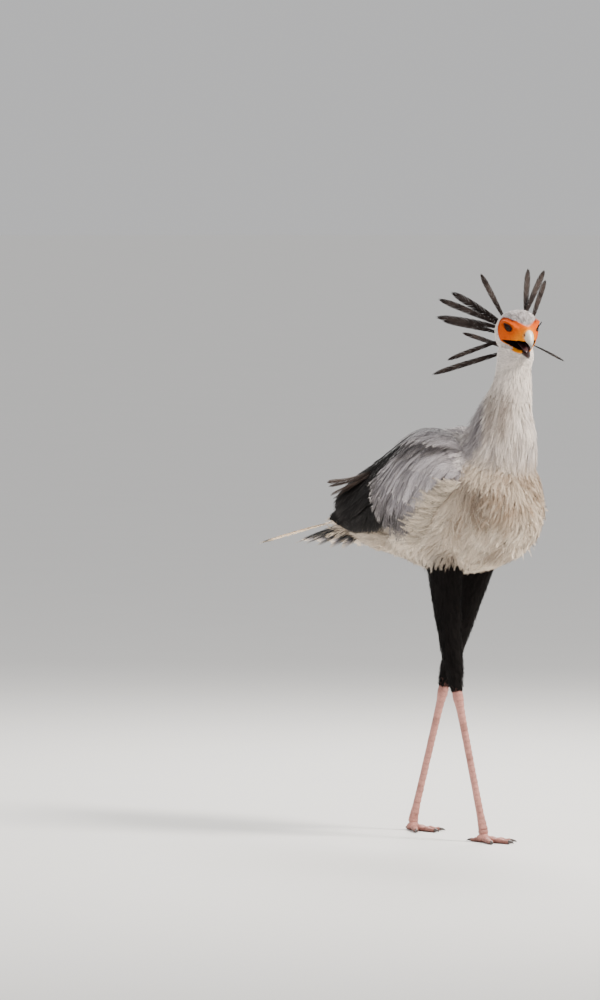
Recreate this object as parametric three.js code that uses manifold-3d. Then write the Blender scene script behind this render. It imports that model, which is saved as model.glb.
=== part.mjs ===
// A life-size secretary bird in mid-stride, with its crest raised, its head turned and its bill open.
// Millimetres, +Z up. The bird faces -Y, so its left side is +X. The origin is on the floor, under the
// middle of the bird's bounding box. Feathers that show their own outline are built one by one.
import * as THREE from "three";
import { mergeVertices } from "three/addons/utils/BufferGeometryUtils.js";
import Module from "manifold-3d";

const wasm = await Module();
wasm.setup();
const { Manifold } = wasm;

// Driving dimensions
const GAP = 0.3; // between two pieces that touch
const EYE_HEIGHT = 1153;
const EYE_FORWARD = 192; // from the hips to the point midway between the eyes
const HEAD_YAW = -20; // degrees, towards the bird's right
const HEAD_PITCH = 16; // degrees, bill down
const EYE_RADIUS = 11.5;
const EYE_SPACING = 54; // between the centres of the two eyeballs
const EYE_BACK = -3; // their place along the head, from the point midway between the eyes
const GAZE_FORWARD = 33; // degrees from straight out to the side
const TARSUS_SCUTES = 11;
const TOE_RADIUS = 7.5;
const CLAW_LENGTH = 17;
const FEATHER_THICKNESS = 1.8; // at the shaft
const CORE_DEPTH = 4; // how far a wing's closed body lies under its outer layer of feathers
const ROOT_DEPTH = 7; // how far a feather's root lies under that layer
const GRID = 0.01; // corners are put on this grid, so that no edge is too short to keep
const SMOOTHING = 0.25; // how far a joined surface may move when its slivers are closed

const COLOURS = {
  feather_grey: [0x8f9096, 0.85],
  feather_white: [0xcfc8bf, 0.9],
  feather_black: [0x17151a, 0.8],
  bill_horn: [0xb9c0c2, 0.35],
  mouth: [0x3a1f22, 0.5],
  eye: [0x1d120c, 0.08],
  leg_pink: [0xc39a97, 0.6],
  claw: [0x2b2624, 0.4],
};

// Small helpers
const V = (x, y, z) => new THREE.Vector3(x, y, z);
const mix = THREE.MathUtils.lerp;
const rad = THREE.MathUtils.degToRad;
const UPWARD = V(0, 0, 1);

// A seeded draw from -1 to 1, so that each run varies the feathers alike.
let seed = 20240711;
function vary() {
  seed = (Math.imul(seed, 1664525) + 1013904223) >>> 0;
  return seed / 2147483648 - 1;
}

// A smooth curve through a table's rows: the first column is the key, and the rest are read at any key.
function track(rows) {
  return (key) => {
    let i = 1;
    while (i < rows.length - 1 && rows[i][0] < key) i += 1;
    const [a, b] = [rows[i - 1], rows[i]];
    const [before, after] = [rows[i - 2] ?? a, rows[i + 1] ?? b];
    const s = (key - a[0]) / (b[0] - a[0]);
    const span = b[0] - a[0];
    return a.slice(1).map((p, n) => {
      const q = b[n + 1];
      const slopeA = ((q - before[n + 1]) / (b[0] - before[0])) * span;
      const slopeB = ((after[n + 1] - p) / (after[0] - a[0])) * span;
      if (s < 0 || s > 1) return s < 0 ? p + slopeA * s : q + slopeB * (s - 1);
      const [s2, s3] = [s * s, s * s * s];
      return (
        p * (2 * s3 - 3 * s2 + 1) + slopeA * (s3 - 2 * s2 + s) + q * (3 * s2 - 2 * s3) + slopeB * (s3 - s2)
      );
    });
  };
}

// Keys from a to b, closer together at both ends, where forms close.
function easedKeys(a, b, count) {
  return Array.from({ length: count }, (_, i) => {
    const s = i / (count - 1);
    return mix(a, b, 0.45 * s + 0.55 * (0.5 - 0.5 * Math.cos(Math.PI * s)));
  });
}

// Solids from points and triangles. A surface that faces inwards is turned round.
function solidOf(points, triangles) {
  let volume = 0;
  for (const [a, b, c] of triangles) {
    volume += points[a].dot(points[b].clone().cross(points[c])) / 6;
  }
  const facing = volume < 0 ? triangles.map(([a, b, c]) => [a, c, b]) : triangles;
  return new Manifold(
    new wasm.Mesh({
      numProp: 3,
      vertProperties: new Float32Array(points.flatMap((p) => p.toArray())),
      triVerts: new Uint32Array(facing.flat()),
    }),
  );
}

// One closed skin over rings of points. A ring of one point is a tip.
function loft(rings) {
  const points = [];
  const starts = rings.map((ring) => points.push(...ring) - ring.length);
  const triangles = [];
  const close = (ring, start, turn) => {
    if (ring.length === 1) return;
    const centre = ring.reduce((sum, p) => sum.add(p), V(0, 0, 0)).divideScalar(ring.length);
    const middle = points.push(centre) - 1;
    ring.forEach((_, i) => {
      const [p, q] = [start + i, start + ((i + 1) % ring.length)];
      triangles.push(turn ? [middle, q, p] : [middle, p, q]);
    });
  };
  for (let r = 1; r < rings.length; r += 1) {
    const count = Math.max(rings[r - 1].length, rings[r].length);
    for (let i = 0; i < count; i += 1) {
      const next = (i + 1) % count;
      const at = (ring, n) => starts[ring] + (rings[ring].length === 1 ? 0 : n);
      const [a, b, c, d] = [at(r - 1, i), at(r - 1, next), at(r, next), at(r, i)];
      if (a !== b) triangles.push([a, c, b]);
      if (c !== d) triangles.push([a, d, c]);
    }
  }
  close(rings[0], starts[0], false);
  close(rings.at(-1), starts.at(-1), true);
  return solidOf(points, triangles);
}

// A ring between two opposite points, with a half width along side. A power over 2 makes it fuller.
function spanRing(a, b, side, half, count, power = 2) {
  const middle = a.clone().add(b).multiplyScalar(0.5);
  const reach = a.clone().sub(b).multiplyScalar(0.5);
  const full = (v) => Math.sign(v) * Math.abs(v) ** (2 / power);
  return Array.from({ length: count }, (_, i) => {
    const turn = (2 * Math.PI * i) / count;
    return middle
      .clone()
      .addScaledVector(reach, full(Math.cos(turn)))
      .addScaledVector(side, half * full(Math.sin(turn)));
  });
}

// An ellipsoid, from its centre and its three half axes.
function ellipsoid(centre, halves, across = 20, down = 12) {
  const geometry = new THREE.SphereGeometry(1, across, down);
  geometry.deleteAttribute("normal");
  geometry.deleteAttribute("uv");
  const merged = mergeVertices(geometry, 1e-4);
  const place = new THREE.Matrix4().makeBasis(...halves).setPosition(centre);
  const spots = merged.attributes.position;
  const points = Array.from({ length: spots.count }, (_, i) =>
    V(spots.getX(i), spots.getY(i), spots.getZ(i)).applyMatrix4(place),
  );
  const corners = Array.from(merged.index.array);
  return solidOf(
    points,
    corners.flatMap((_, i) => (i % 3 ? [] : [corners.slice(i, i + 3)])),
  );
}
const ball = (centre, radius, across = 20, down = 14) =>
  ellipsoid(centre, [V(radius, 0, 0), V(0, radius, 0), V(0, 0, radius)], across, down);

// One feather: a flat, tapered vane whose lens-shaped section has its ridge on the shaft.
// spots are places along the shaft with the outward normal at each. A form has the steps along the shaft
// and the share of the width at each, down to the tip.
const LONG_VANE = { steps: [0, 0.34, 0.7, 0.92, 1], shape: [0.45, 0.95, 1, 0.62] };
const SHORT_VANE = { steps: [0, 0.5, 0.86, 1], shape: [0.7, 1, 0.72] };
const CREST_VANE = { steps: [0, 0.34, 0.7, 0.92, 1], shape: [0.34, 0.62, 1, 0.72] };
function vane(spots, width, { form = LONG_VANE, thickness = FEATHER_THICKNESS, twist = 0 } = {}) {
  const rings = [];
  const last = spots.length - 1;
  spots.forEach(({ at, normal }, i) => {
    if (i === last) {
      rings.push([at]);
      return;
    }
    const along = spots[i + 1].at.clone().sub(spots[Math.max(i - 1, 0)].at).normalize();
    const out = normal.clone().addScaledVector(along, -normal.dot(along)).normalize();
    out.applyAxisAngle(along, twist);
    const side = along.clone().cross(out);
    const half = (width / 2) * form.shape[i];
    const thick = (thickness / 2) * mix(1, 0.6, i / last);
    rings.push([
      at.clone().addScaledVector(side, -half),
      at.clone().addScaledVector(out, thick),
      at.clone().addScaledVector(side, half),
      at.clone().addScaledVector(out, -thick),
    ]);
  });
  const points = rings.flat();
  const triangles = [
    [0, 2, 1],
    [0, 3, 2],
  ];
  for (let r = 1; r < last; r += 1) {
    for (let i = 0; i < 4; i += 1) {
      const next = (i + 1) % 4;
      const [a, b, c, d] = [4 * (r - 1) + i, 4 * (r - 1) + next, 4 * r + next, 4 * r + i];
      // Both faces are split from an edge point to the next ridge point, so that they can't cross.
      triangles.push(...(i % 2 ? [[a, b, d], [b, c, d]] : [[a, b, c], [a, c, d]]));
    }
  }
  const [base, tip] = [4 * (last - 1), points.length - 1];
  for (let i = 0; i < 4; i += 1) triangles.push([base + i, base + ((i + 1) % 4), tip]);
  return solidOf(points, triangles);
}

// A feather that lies on a surface from one pair of surface coordinates to another. It rises from below
// the surface at its root to lift above it at its tip.
function laidVane(surface, from, to, width, lift, options = {}) {
  const spots = (options.form ?? LONG_VANE).steps.map((s) => {
    const { at, normal } = surface(mix(from[0], to[0], s), mix(from[1], to[1], s));
    return { at: at.addScaledVector(normal, mix(-ROOT_DEPTH, lift, Math.sqrt(s))), normal };
  });
  return vane(spots, width, options);
}

// A feather that stands free, from its root along a direction, bending towards droop at its tip.
function freeVane(root, direction, length, width, facing, { droop = V(0, 0, 0), ...options } = {}) {
  const spots = (options.form ?? LONG_VANE).steps.map((s) => ({
    at: root
      .clone()
      .addScaledVector(direction, length * s)
      .addScaledVector(droop, s * s),
    normal: facing,
  }));
  return vane(spots, width, options);
}

const union = (solids) => Manifold.union(solids);
// The largest body of a solid, without the slivers that joins leave behind
const largest = (solid) =>
  solid
    .simplify(SMOOTHING)
    .decompose()
    .sort((a, b) => b.volume() - a.volume())[0];
// The part of a solid past a plane, from a point on the plane and the way to keep.
const keepPast = (solid, point, way) => {
  const normal = way.clone().normalize();
  return solid.trimByPlane(normal.toArray(), normal.dot(point));
};

// Trunk: back and belly heights and half width, from the breast at -Y to the rump
const TRUNK = track([
  [-219, 738, 746, 3],
  [-214, 774, 710, 33],
  [-196, 822, 676, 64],
  [-165, 864, 648, 90],
  [-120, 900, 622, 110],
  [-60, 922, 604, 122],
  [10, 926, 595, 127],
  [75, 912, 598, 122],
  [135, 884, 609, 106],
  [190, 850, 622, 84],
  [240, 819, 632, 64],
  [290, 789, 638, 48],
  [330, 762, 645, 37],
  [356, 744, 656, 30],
  [362, 736, 664, 22],
]);
const TRUNK_FULLNESS = 2.25; // power of the trunk's section, a little over an ellipse's
const FLANK = { x: 66, y: 24, z: 684, halves: [60, 104, 84] };

// grow makes the trunk larger by that much all round, for cutting what lies against it.
function trunk(grow = 0) {
  const rings = easedKeys(-219, 362, 16).map((y, i, all) => {
    const [top, bottom, half] = TRUNK(y);
    const end = i === 0 ? -grow : i === all.length - 1 ? grow : 0;
    const [back, belly] = [V(0, y + end, top + grow), V(0, y + end, bottom - grow)];
    return spanRing(back, belly, V(1, 0, 0), half + grow, 20, TRUNK_FULLNESS);
  });
  const flanks = [-1, 1].map((side) =>
    ellipsoid(
      V(side * FLANK.x, FLANK.y, FLANK.z),
      [V(FLANK.halves[0] + grow, 0, 0), V(0, FLANK.halves[1] + grow, 0), V(0, 0, FLANK.halves[2] + grow)],
      14,
      9,
    ),
  );
  return union([loft(rings), ...flanks]);
}

// Neck: height, place from front to back, half width, half depth, and lean of the section in degrees
const NECK = track([
  [800, -84, 98, 104, 0],
  [860, -105, 86, 99, 0],
  [905, -120, 70, 93, 0],
  [930, -128, 63, 83, 2],
  [955, -132, 57, 74, 5],
  [985, -143, 51, 60, 9],
  [1012, -154, 47, 50, 12],
  [1040, -160, 43, 44, 14],
  [1066, -164, 41, 41, 14],
  [1092, -168, 41, 43, 12],
  [1112, -172, 36, 38, 12],
]);
function neck(grow = 0) {
  const rings = easedKeys(800, 1112, 16).map((z) => {
    const [y, half, depth, lean] = NECK(z);
    const reach = V(0, Math.cos(rad(lean)), Math.sin(rad(lean))).multiplyScalar(depth + grow);
    const middle = V(0, y, z);
    return spanRing(middle.clone().add(reach), middle.clone().sub(reach), V(1, 0, 0), half + grow, 22);
  });
  return loft(rings);
}

// Head: its own axes run forwards, to its left and up, from the point midway between the eyes.
const FORWARD = V(
  Math.sin(rad(HEAD_YAW)) * Math.cos(rad(HEAD_PITCH)),
  -Math.cos(rad(HEAD_YAW)) * Math.cos(rad(HEAD_PITCH)),
  -Math.sin(rad(HEAD_PITCH)),
);
const LEFT = V(Math.cos(rad(HEAD_YAW)), Math.sin(rad(HEAD_YAW)), 0);
const CROWN = FORWARD.clone().cross(LEFT).multiplyScalar(-1).normalize();
if (CROWN.z < 0) CROWN.negate();
const onHead = (forward, left, up) =>
  V(0, -EYE_FORWARD, EYE_HEIGHT)
    .addScaledVector(FORWARD, forward)
    .addScaledVector(LEFT, left)
    .addScaledVector(CROWN, up);

// Skull with its short feathers: place from back to front, half width, top and bottom
const SKULL = track([
  [-86, 8, -14, -36],
  [-81, 25, 3, -52],
  [-67, 39, 18, -68],
  [-46, 46, 28, -74],
  [-25, 46.5, 35, -72],
  [-6, 41, 36.5, -64],
  [10, 32, 30, -58],
  [24, 22, 18, -54],
  [36, 14, 8, -51],
]);
const MOUTH = { corner: [-17, -32], roof: [27, -22], floor: [27, -43.5], lip: 62 };

const eyeCentre = (side) => onHead(EYE_BACK, (side * EYE_SPACING) / 2, 0);
// The way an eye looks, out to its side and forwards
const gaze = (side) =>
  LEFT.clone()
    .multiplyScalar(side * Math.cos(rad(GAZE_FORWARD)))
    .addScaledVector(FORWARD, Math.sin(rad(GAZE_FORWARD)));

// A brow that shades the eye, as a bent bar over it: forward, to the side, up, and half its thickness
const BROW = [
  [-26, 41, 6, 4],
  [-12, 38, 11, 6],
  [3, 33.5, 11.5, 6],
  [15, 26, 8, 5],
  [24, 18, 4, 3.5],
];
const BROW_FLATNESS = 0.7; // its height as a share of its width
function brow(side) {
  const rings = BROW.map(([f, l, u, r]) => {
    const rise = r * BROW_FLATNESS;
    return spanRing(onHead(f, side * l, u + rise), onHead(f, side * l, u - rise), LEFT, r, 8);
  });
  return loft(rings);
}

const LID_THICKNESS = 2.2;
const LID_OPENING = [10.4, 7.2]; // half its length and half its height

function headCore() {
  const skull = loft(
    easedKeys(-86, 36, 14).map((f) => {
      const [half, top, bottom] = SKULL(f);
      return spanRing(onHead(f, 0, top), onHead(f, 0, bottom), LEFT, half, 20, 2.15);
    }),
  );
  let head = union([skull, brow(-1), brow(1)]);
  for (const side of [-1, 1]) {
    const [centre, outward] = [eyeCentre(side), gaze(side)];
    const lids = ball(centre, EYE_RADIUS + LID_THICKNESS, 14, 8);
    // The opening between the lids is longer than it is high and falls a little towards the bill.
    const lengthwise = outward.clone().cross(CROWN).normalize();
    if (lengthwise.dot(FORWARD) < 0) lengthwise.negate();
    const opening = ellipsoid(
      centre.clone().addScaledVector(outward, EYE_RADIUS + 1),
      [
        lengthwise.multiplyScalar(LID_OPENING[0]).addScaledVector(CROWN, -1.5),
        outward.clone().multiplyScalar(8),
        CROWN.clone().multiplyScalar(LID_OPENING[1]),
      ],
      12,
      6,
    );
    head = head.add(lids).subtract(opening).subtract(ball(centre, EYE_RADIUS + 2 * GAP, 14, 8));
  }
  return head;
}

// The open mouth: a wedge from its corner forwards, as wide as the head.
function mouthWedge() {
  const outline = [MOUTH.corner, MOUTH.roof, [MOUTH.lip, -20], [MOUTH.lip, -52], MOUTH.floor];
  const wide = 60;
  return loft([-wide, wide].map((left) => outline.map(([f, u]) => onHead(f, left, u))));
}

// Crest feathers: root as forward, left and up in the head's axes, then roll round the head's back
// axis (0 is up, + is left), spread from that axis, length, width and twist
const CREST = [
  [-69, -25, -10, -67, 21, 171, 18, 0],
  [-68, -27, -14, -78, 33, 170, 15, 0.2],
  [-62, -32, -18, -100, 32, 169, 18, 0],
  [-64, -27, -32, -95, 32, 154, 13, 0.2],
  [-36, -13, -61, -78, 43, 114, 11, 0.4],
  [-57, -23, -47, -128, 50, 141, 11, 0.5],
  [-31, -10, -63, -115, 67, 178, 13, 0.3],
  [-68, -20, 2, -6, 21, 158, 13.5, -0.3],
  [-49, 23, 15, 36, 31, 157, 14, -0.6],
  [-45, 22, 18, 50, 41, 156, 14, -0.6],
  [-38, 36, 4, 46, 39, 141, 13, -0.5],
  [-13, 33, -44, 117, 65, 120, 10, 0.9],
  [-66, 18, -12, 115, 20, 150, 15, 0],
  [-60, 26, -26, 122, 31, 150, 15, 0.2],
  [-60, 8, -34, 155, 22, 140, 14, 0],
  [-45, 16, -52, 140, 40, 125, 12, 0.4],
];
const CREST_SINK = 6; // on beyond the root, inside the head

function crest() {
  return CREST.map(([forward, left, up, roll, spread, length, width, twist]) => {
    const out = LEFT.clone()
      .multiplyScalar(Math.sin(rad(roll)))
      .addScaledVector(CROWN, Math.cos(rad(roll)));
    const direction = FORWARD.clone()
      .multiplyScalar(-Math.cos(rad(spread)))
      .addScaledVector(out, Math.sin(rad(spread)));
    const root = onHead(forward, left, up).addScaledVector(direction, -CREST_SINK);
    const droop = CROWN.clone().multiplyScalar(-5).addScaledVector(out, 6);
    const options = { form: CREST_VANE, droop, twist };
    return freeVane(root, direction, length + CREST_SINK, width, FORWARD, options);
  });
}

// Where the head meets the neck, low at the nape and high at the throat
const NAPE_CUT = { point: V(0, -160, 1062), way: V(0, 0.36, 0.93) };
// Where the neck meets the trunk
const SHOULDER_CUT = { point: V(0, -120, 890), way: V(0, -0.24, 0.97) };
const belowCut = ({ point, way }) => [point.clone().addScaledVector(way, -GAP / 2), way.clone().negate()];
const aboveCut = ({ point, way }) => [point.clone().addScaledVector(way, GAP / 2), way];

// Bill: culmen and cutting edge, each as forward and up, and half width
const UPPER_BILL = [
  [34, 7.5, 33, -22.5, 12.5],
  [41, 7, 41, -22, 11],
  [49, 3, 49, -22.5, 9],
  [56, -4, 54.5, -23.5, 6.8],
  [60.5, -12, 57.5, -25, 4.8],
  [62.5, -20, 59.5, -27.5, 2.8],
];
const UPPER_BILL_TIP = [61, -32];
const LOWER_BILL = [
  [25, -43, 25, -51, 13],
  [34, -45, 34, -53, 10.5],
  [42, -47.5, 42, -54.5, 8],
  [49, -50, 48.5, -56, 5.2],
];
const LOWER_BILL_TIP = [55.5, -54];

function billHalf(rows, tip, grow = 0) {
  const rings = rows.map(([topF, topU, lowF, lowU, half], i) => {
    const back = i === 0 ? grow : 0;
    const [top, low] = [onHead(topF - back, 0, topU + grow), onHead(lowF - back, 0, lowU - grow)];
    return spanRing(top, low, LEFT, half + grow, 14, 2.1);
  });
  return loft([...rings, [onHead(tip[0], 0, tip[1])]]);
}

// A nostril's middle on the side of the bill, and its half length, depth and half height
const NOSTRIL = { at: [39.5, 11.5, -4], halves: [3, 3.5, 1.8] };
function nostril(side) {
  const [forward, left, up] = NOSTRIL.at;
  const halves = [FORWARD, LEFT, CROWN].map((way, i) => way.clone().multiplyScalar(NOSTRIL.halves[i]));
  return ellipsoid(onHead(forward, side * left, up), halves, 8, 6);
}

const TONGUE = [
  [0, -31, -38, 9],
  [16, -34.5, -41.5, 8],
  [28, -38, -44.5, 6],
];
const TONGUE_TIP = [40, -44];
function tongue(grow = 0) {
  const rings = TONGUE.map(([f, top, low, half], i) => {
    const forward = i === 0 ? f - grow : f;
    return spanRing(onHead(forward, 0, top + grow), onHead(forward, 0, low - grow), LEFT, half + grow, 12);
  });
  return loft([...rings, [onHead(TONGUE_TIP[0], 0, TONGUE_TIP[1])]]);
}

// Folded wing: upper edge, widest line and lower edge, each as distance from the midline and height,
// from the wrist back along Y
const WING = track([
  [-112, 100, 832, 108, 820, 110, 806],
  [-85, 84, 880, 118, 844, 120, 780],
  [-50, 70, 909, 129, 856, 130, 758],
  [0, 58, 922, 137, 852, 135, 728],
  [50, 53, 924, 139, 836, 134, 692],
  [90, 51, 917, 136, 816, 128, 670],
  [132, 50, 901, 128, 794, 118, 668],
  [180, 48, 876, 114, 775, 104, 673],
  [233, 46, 845, 97, 758, 88, 679],
  [290, 44, 812, 78, 742, 72, 684],
  [350, 43, 778, 60, 727, 58, 689],
  [400, 42, 742, 50, 713, 50, 694],
  [430, 42, 716, 46, 706, 46, 696],
]);
const WING_MIDDLE = 0.45; // where the widest line lies, as a share from the upper to the lower edge

// A point on the wing's outer face, across from 0 at its upper edge to 1 at its lower edge.
function wingSpot(side, y, across) {
  const spot = (along, share) => {
    const [xTop, zTop, xMid, zMid, xLow, zLow] = WING(along);
    const m = WING_MIDDLE;
    const [a, b, c] = [
      ((share - m) * (share - 1)) / m,
      (share * (share - 1)) / (m * (m - 1)),
      (share * (share - m)) / (1 - m),
    ];
    return V(side * (a * xTop + b * xMid + c * xLow), along, a * zTop + b * zMid + c * zLow);
  };
  const at = spot(y, across);
  const alongY = spot(y + 2, across).sub(at);
  const down = spot(y, across + 0.02).sub(at);
  const normal = alongY.cross(down).normalize();
  if (normal.x * side < 0) normal.negate();
  return { at, normal };
}

// The closed body of the wing under its feathers. Its outer face runs inside the outline.
function wingCore(side) {
  const [alongs, shares] = [easedKeys(-110, 345, 11), easedKeys(0, 1, 6)];
  const rings = alongs.map((y) => {
    const trim = THREE.MathUtils.smoothstep(y, 60, 340);
    const range = [mix(0.01, 0.06, trim), mix(0.97, 0.78, trim)];
    const depth = mix(30, 7, THREE.MathUtils.smoothstep(y, 190, 340));
    const face = shares.map((s) => {
      const { at, normal } = wingSpot(side, y, mix(...range, s));
      return { at: at.addScaledVector(normal, -CORE_DEPTH), normal };
    });
    const inner = face.map(({ at, normal }, i) => {
      const edge = Math.sin(Math.PI * (0.12 + (0.76 * i) / (face.length - 1)));
      return at.clone().addScaledVector(normal, -depth * edge);
    });
    return [...face.map(({ at }) => at), ...inner.reverse()];
  });
  return loft(rings);
}

// Rows of wing feathers, from the lowest layer to the top one: how many, the first and the last root,
// the first and the last tip (each as along and across), width, lift at the tip, and how far the row of
// tips bulges down in its middle, and the vanes' form
const WING_ROWS = [
  [4, [200, 0.62], [225, 0.34], [372, 0.96], [426, 0.42], 30, -3, 0, LONG_VANE],
  [8, [70, 0.68], [205, 0.5], [112, 1.05], [360, 1.02], 37, 2, 0, LONG_VANE],
  [4, [175, 0.4], [190, 0.1], [392, 0.54], [402, 0.05], 37, 4, 0, LONG_VANE],
  [7, [26, 0.62], [130, 0.16], [68, 1.03], [238, 0.2], 39, 5.4, 0.1, SHORT_VANE],
  [6, [-26, 0.58], [80, 0.16], [20, 0.97], [164, 0.32], 38, 7.8, 0.05, SHORT_VANE],
  [5, [-50, 0.02], [92, 0.01], [26, 0.27], [214, 0.16], 43, 9.5, 0.05, SHORT_VANE],
];
// Each feather's lower edge lies over the next feather's upper edge.
const SHINGLE_TWIST = 0.14;
// Two worn feathers stand off the wing's upper line: height over it at the tip, length and width
const LOOSE_FEATHERS = [
  [44, 128, 17],
  [20, 118, 19],
];

function wing(side) {
  const surface = (y, across) => wingSpot(side, y, across);
  const solids = [wingCore(side)];
  for (const [count, rootA, rootB, tipA, tipB, width, lift, bulge, form] of WING_ROWS) {
    for (let i = 0; i < count; i += 1) {
      const k = i / (count - 1);
      const from = [mix(rootA[0], rootB[0], k), mix(rootA[1], rootB[1], k)];
      const dip = bulge * Math.sin(Math.PI * k) + 0.01 * vary();
      const to = [mix(tipA[0], tipB[0], k) + 5 * vary(), mix(tipA[1], tipB[1], k) + dip];
      const options = { form, twist: -side * SHINGLE_TWIST };
      solids.push(laidVane(surface, from, to, width * (1 + 0.04 * vary()), lift, options));
    }
  }
  LOOSE_FEATHERS.forEach(([rise, length, width], i) => {
    const { at, normal } = surface(302 - 6 * i, 0.03);
    at.addScaledVector(normal, -2.5);
    const direction = V(0, 1, -0.42).normalize();
    const lifted = V(0, 0, rise * 0.75);
    solids.push(freeVane(at, direction, length, width, normal, { droop: lifted, twist: 0.5 * side }));
  });
  const made = union(solids).subtract(trunk(GAP)).subtract(neck(GAP));
  // The inner faces of the two wings keep clear of the tail between them.
  const clear = side > 0 ? V(TAIL_CLEARANCE, 0, 0) : V(-TAIL_CLEARANCE, 0, 0);
  return largest(keepPast(made, clear, V(side, 0, 0)));
}

// Tail: pairs of feathers from the long middle pair to the short outer pair, each as root height,
// tip along Y, tip height, tip distance from the midline, roof angle in degrees and width
const TAIL_CLEARANCE = 36;
const TAIL_ROOT = 318;
const TAIL_PAIRS = [
  [716, 727, 630, 5, 10, 20],
  [710, 566, 642, 9, 14, 28],
  [704, 530, 643, 13, 20, 31],
  [697, 488, 642, 17, 28, 32],
  [690, 446, 641, 20, 36, 32],
  [683, 405, 641, 22, 44, 31],
];
const TAIL_STAGGER = 3.2; // the left feather of each pair lies this much over the right one
const TAIL_COVERTS = { upper: 3, under: 4, length: 95, width: 30 };

function tail() {
  const core = loft(
    [
      [TAIL_ROOT - 6, 742, 656, 26],
      [350, 738, 658, 26],
      [375, 722, 660, 21],
      [398, 704, 664, 13],
    ].map(([y, top, low, half]) => spanRing(V(0, y, top), V(0, y, low), V(1, 0, 0), half, 16, 2.2)),
  );
  const solids = [core];
  TAIL_PAIRS.forEach(([rootZ, tipY, tipZ, tipX, roof, width]) => {
    for (const side of [-1, 1]) {
      const over = side > 0 ? TAIL_STAGGER : 0;
      const root = V(side * 5, TAIL_ROOT + 20, rootZ + over);
      const tip = V(side * tipX, tipY + 4 * vary(), tipZ + over);
      const direction = tip.clone().sub(root);
      const length = direction.length();
      const facing = V(side * Math.sin(rad(roof)), 0, Math.cos(rad(roof)));
      const droop = V(0, 0, -0.03 * length);
      direction.sub(droop).normalize();
      solids.push(freeVane(root, direction, length, width, facing, { droop, thickness: 1.9 }));
    }
  });
  for (const [count, top] of [[TAIL_COVERTS.upper, 1], [TAIL_COVERTS.under, -1]]) {
    for (let i = 0; i < count; i += 1) {
      const turn = mix(-48, 48, i / (count - 1));
      const out = V(Math.sin(rad(turn)), 0, top * Math.cos(rad(turn)));
      const root = V(out.x * 18, 352, 700 + out.z * 36);
      const direction = V(out.x * 0.03, 1, top > 0 ? -0.42 : 0.02).normalize();
      const length = TAIL_COVERTS.length * (1 + 0.12 * vary());
      solids.push(freeVane(root, direction, length, TAIL_COVERTS.width, out, { form: SHORT_VANE }));
    }
  }
  return largest(union(solids).subtract(trunk(GAP)));
}

// Legs: the right one stands forwards, and the left one trails.
const LEGS = {
  right: {
    side: -1,
    knee: [-74, -12, 640],
    thigh: [-68, -9, 520],
    ankle: [-51, -28, 338],
    toe: [-38, -104, 27],
  },
  left: {
    side: 1,
    knee: [74, 30, 640],
    thigh: [68, 78, 520],
    ankle: [50, 130, 338],
    toe: [38, 224, 27],
  },
};
// Feathered shank of the upper leg: share from knee to ankle, half width, half depth
const TROUSER = track([
  [0, 39, 52],
  [0.2, 35, 47],
  [0.4, 30, 41],
  [0.6, 26, 36],
  [0.8, 22, 31],
  [0.93, 18, 25],
  [1.0, 15, 19],
]);
const TROUSER_OVERHANG = 9; // how far the feathers reach past the ankle
const TROUSER_HEM = [12.5, 16.5];

const shankWay = ({ ankle, toe }) => V(...toe).sub(V(...ankle)).normalize();
// The plane where the feathers end, square to the bare shank
const hem = (leg, past = 0) => V(...leg.ankle).addScaledVector(shankWay(leg), TROUSER_OVERHANG + past);

function trousers(leg) {
  const path = new THREE.QuadraticBezierCurve3(V(...leg.knee), V(...leg.thigh), V(...leg.ankle));
  const ring = (centre, [half, depth]) =>
    spanRing(centre.clone().add(V(0, depth, 0)), centre.clone().add(V(0, -depth, 0)), V(1, 0, 0), half, 18);
  const rings = easedKeys(0, 1, 10).map((s) => ring(path.getPoint(s), TROUSER(s)));
  const solid = loft([...rings, ring(hem(leg, 6), TROUSER_HEM)]);
  return largest(keepPast(solid, hem(leg), shankWay(leg).negate()).subtract(trunk(GAP)));
}

// Scaled shank of the lower leg: a joint at its top, then overlapping scutes down its front.
const SHANK = track([
  [0, 9.5, 12.5],
  [0.06, 10.5, 13.5],
  [0.14, 8, 10.5],
  [0.5, 7, 9],
  [0.88, 7.4, 9.4],
  [0.96, 9.5, 10.5],
  [1, 10.5, 11],
]);
const SCUTE_STEP = 0.7;

function shank(leg) {
  const [ankle, toe, along] = [V(...leg.ankle), V(...leg.toe), shankWay(leg)];
  const across = V(1, 0, 0).addScaledVector(along, -along.x).normalize();
  const front = across.clone().cross(along).normalize();
  if (front.y > 0) front.negate();
  const rings = [];
  for (let i = 0; i < TARSUS_SCUTES; i += 1) {
    for (const [share, step] of [[0.04, -SCUTE_STEP], [0.96, SCUTE_STEP]]) {
      const s = (i + share) / TARSUS_SCUTES;
      const [half, depth] = SHANK(s);
      const centre = ankle.clone().lerp(toe, s);
      const shin = centre.clone().addScaledVector(front, depth + step);
      rings.push(spanRing(shin, centre.addScaledVector(front, -depth), across, half + step * 0.5, 8));
    }
  }
  return largest(keepPast(loft(rings), hem(leg, GAP), along).subtract(foot(leg, 2 * GAP)));
}

// Foot: three front toes and a short hind toe, each as turn from straight ahead, length and thickness
const TOES = [
  ["outer", 33, 64, 0.92],
  ["middle", 2, 78, 1],
  ["inner", -31, 62, 0.95],
  ["hind", 168, 30, 0.85],
];
const FOOT_TURN = { right: 8, left: -4 };
const TOE_JOINTS = 3;
const CLAW_SHARE = 0.62; // a claw's radius at its root, as a share of its toe's

function toeWay(leg, turn) {
  const angle = rad(leg.side * turn + FOOT_TURN[leg.name]);
  return V(Math.sin(angle), -Math.cos(angle), 0);
}

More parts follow.
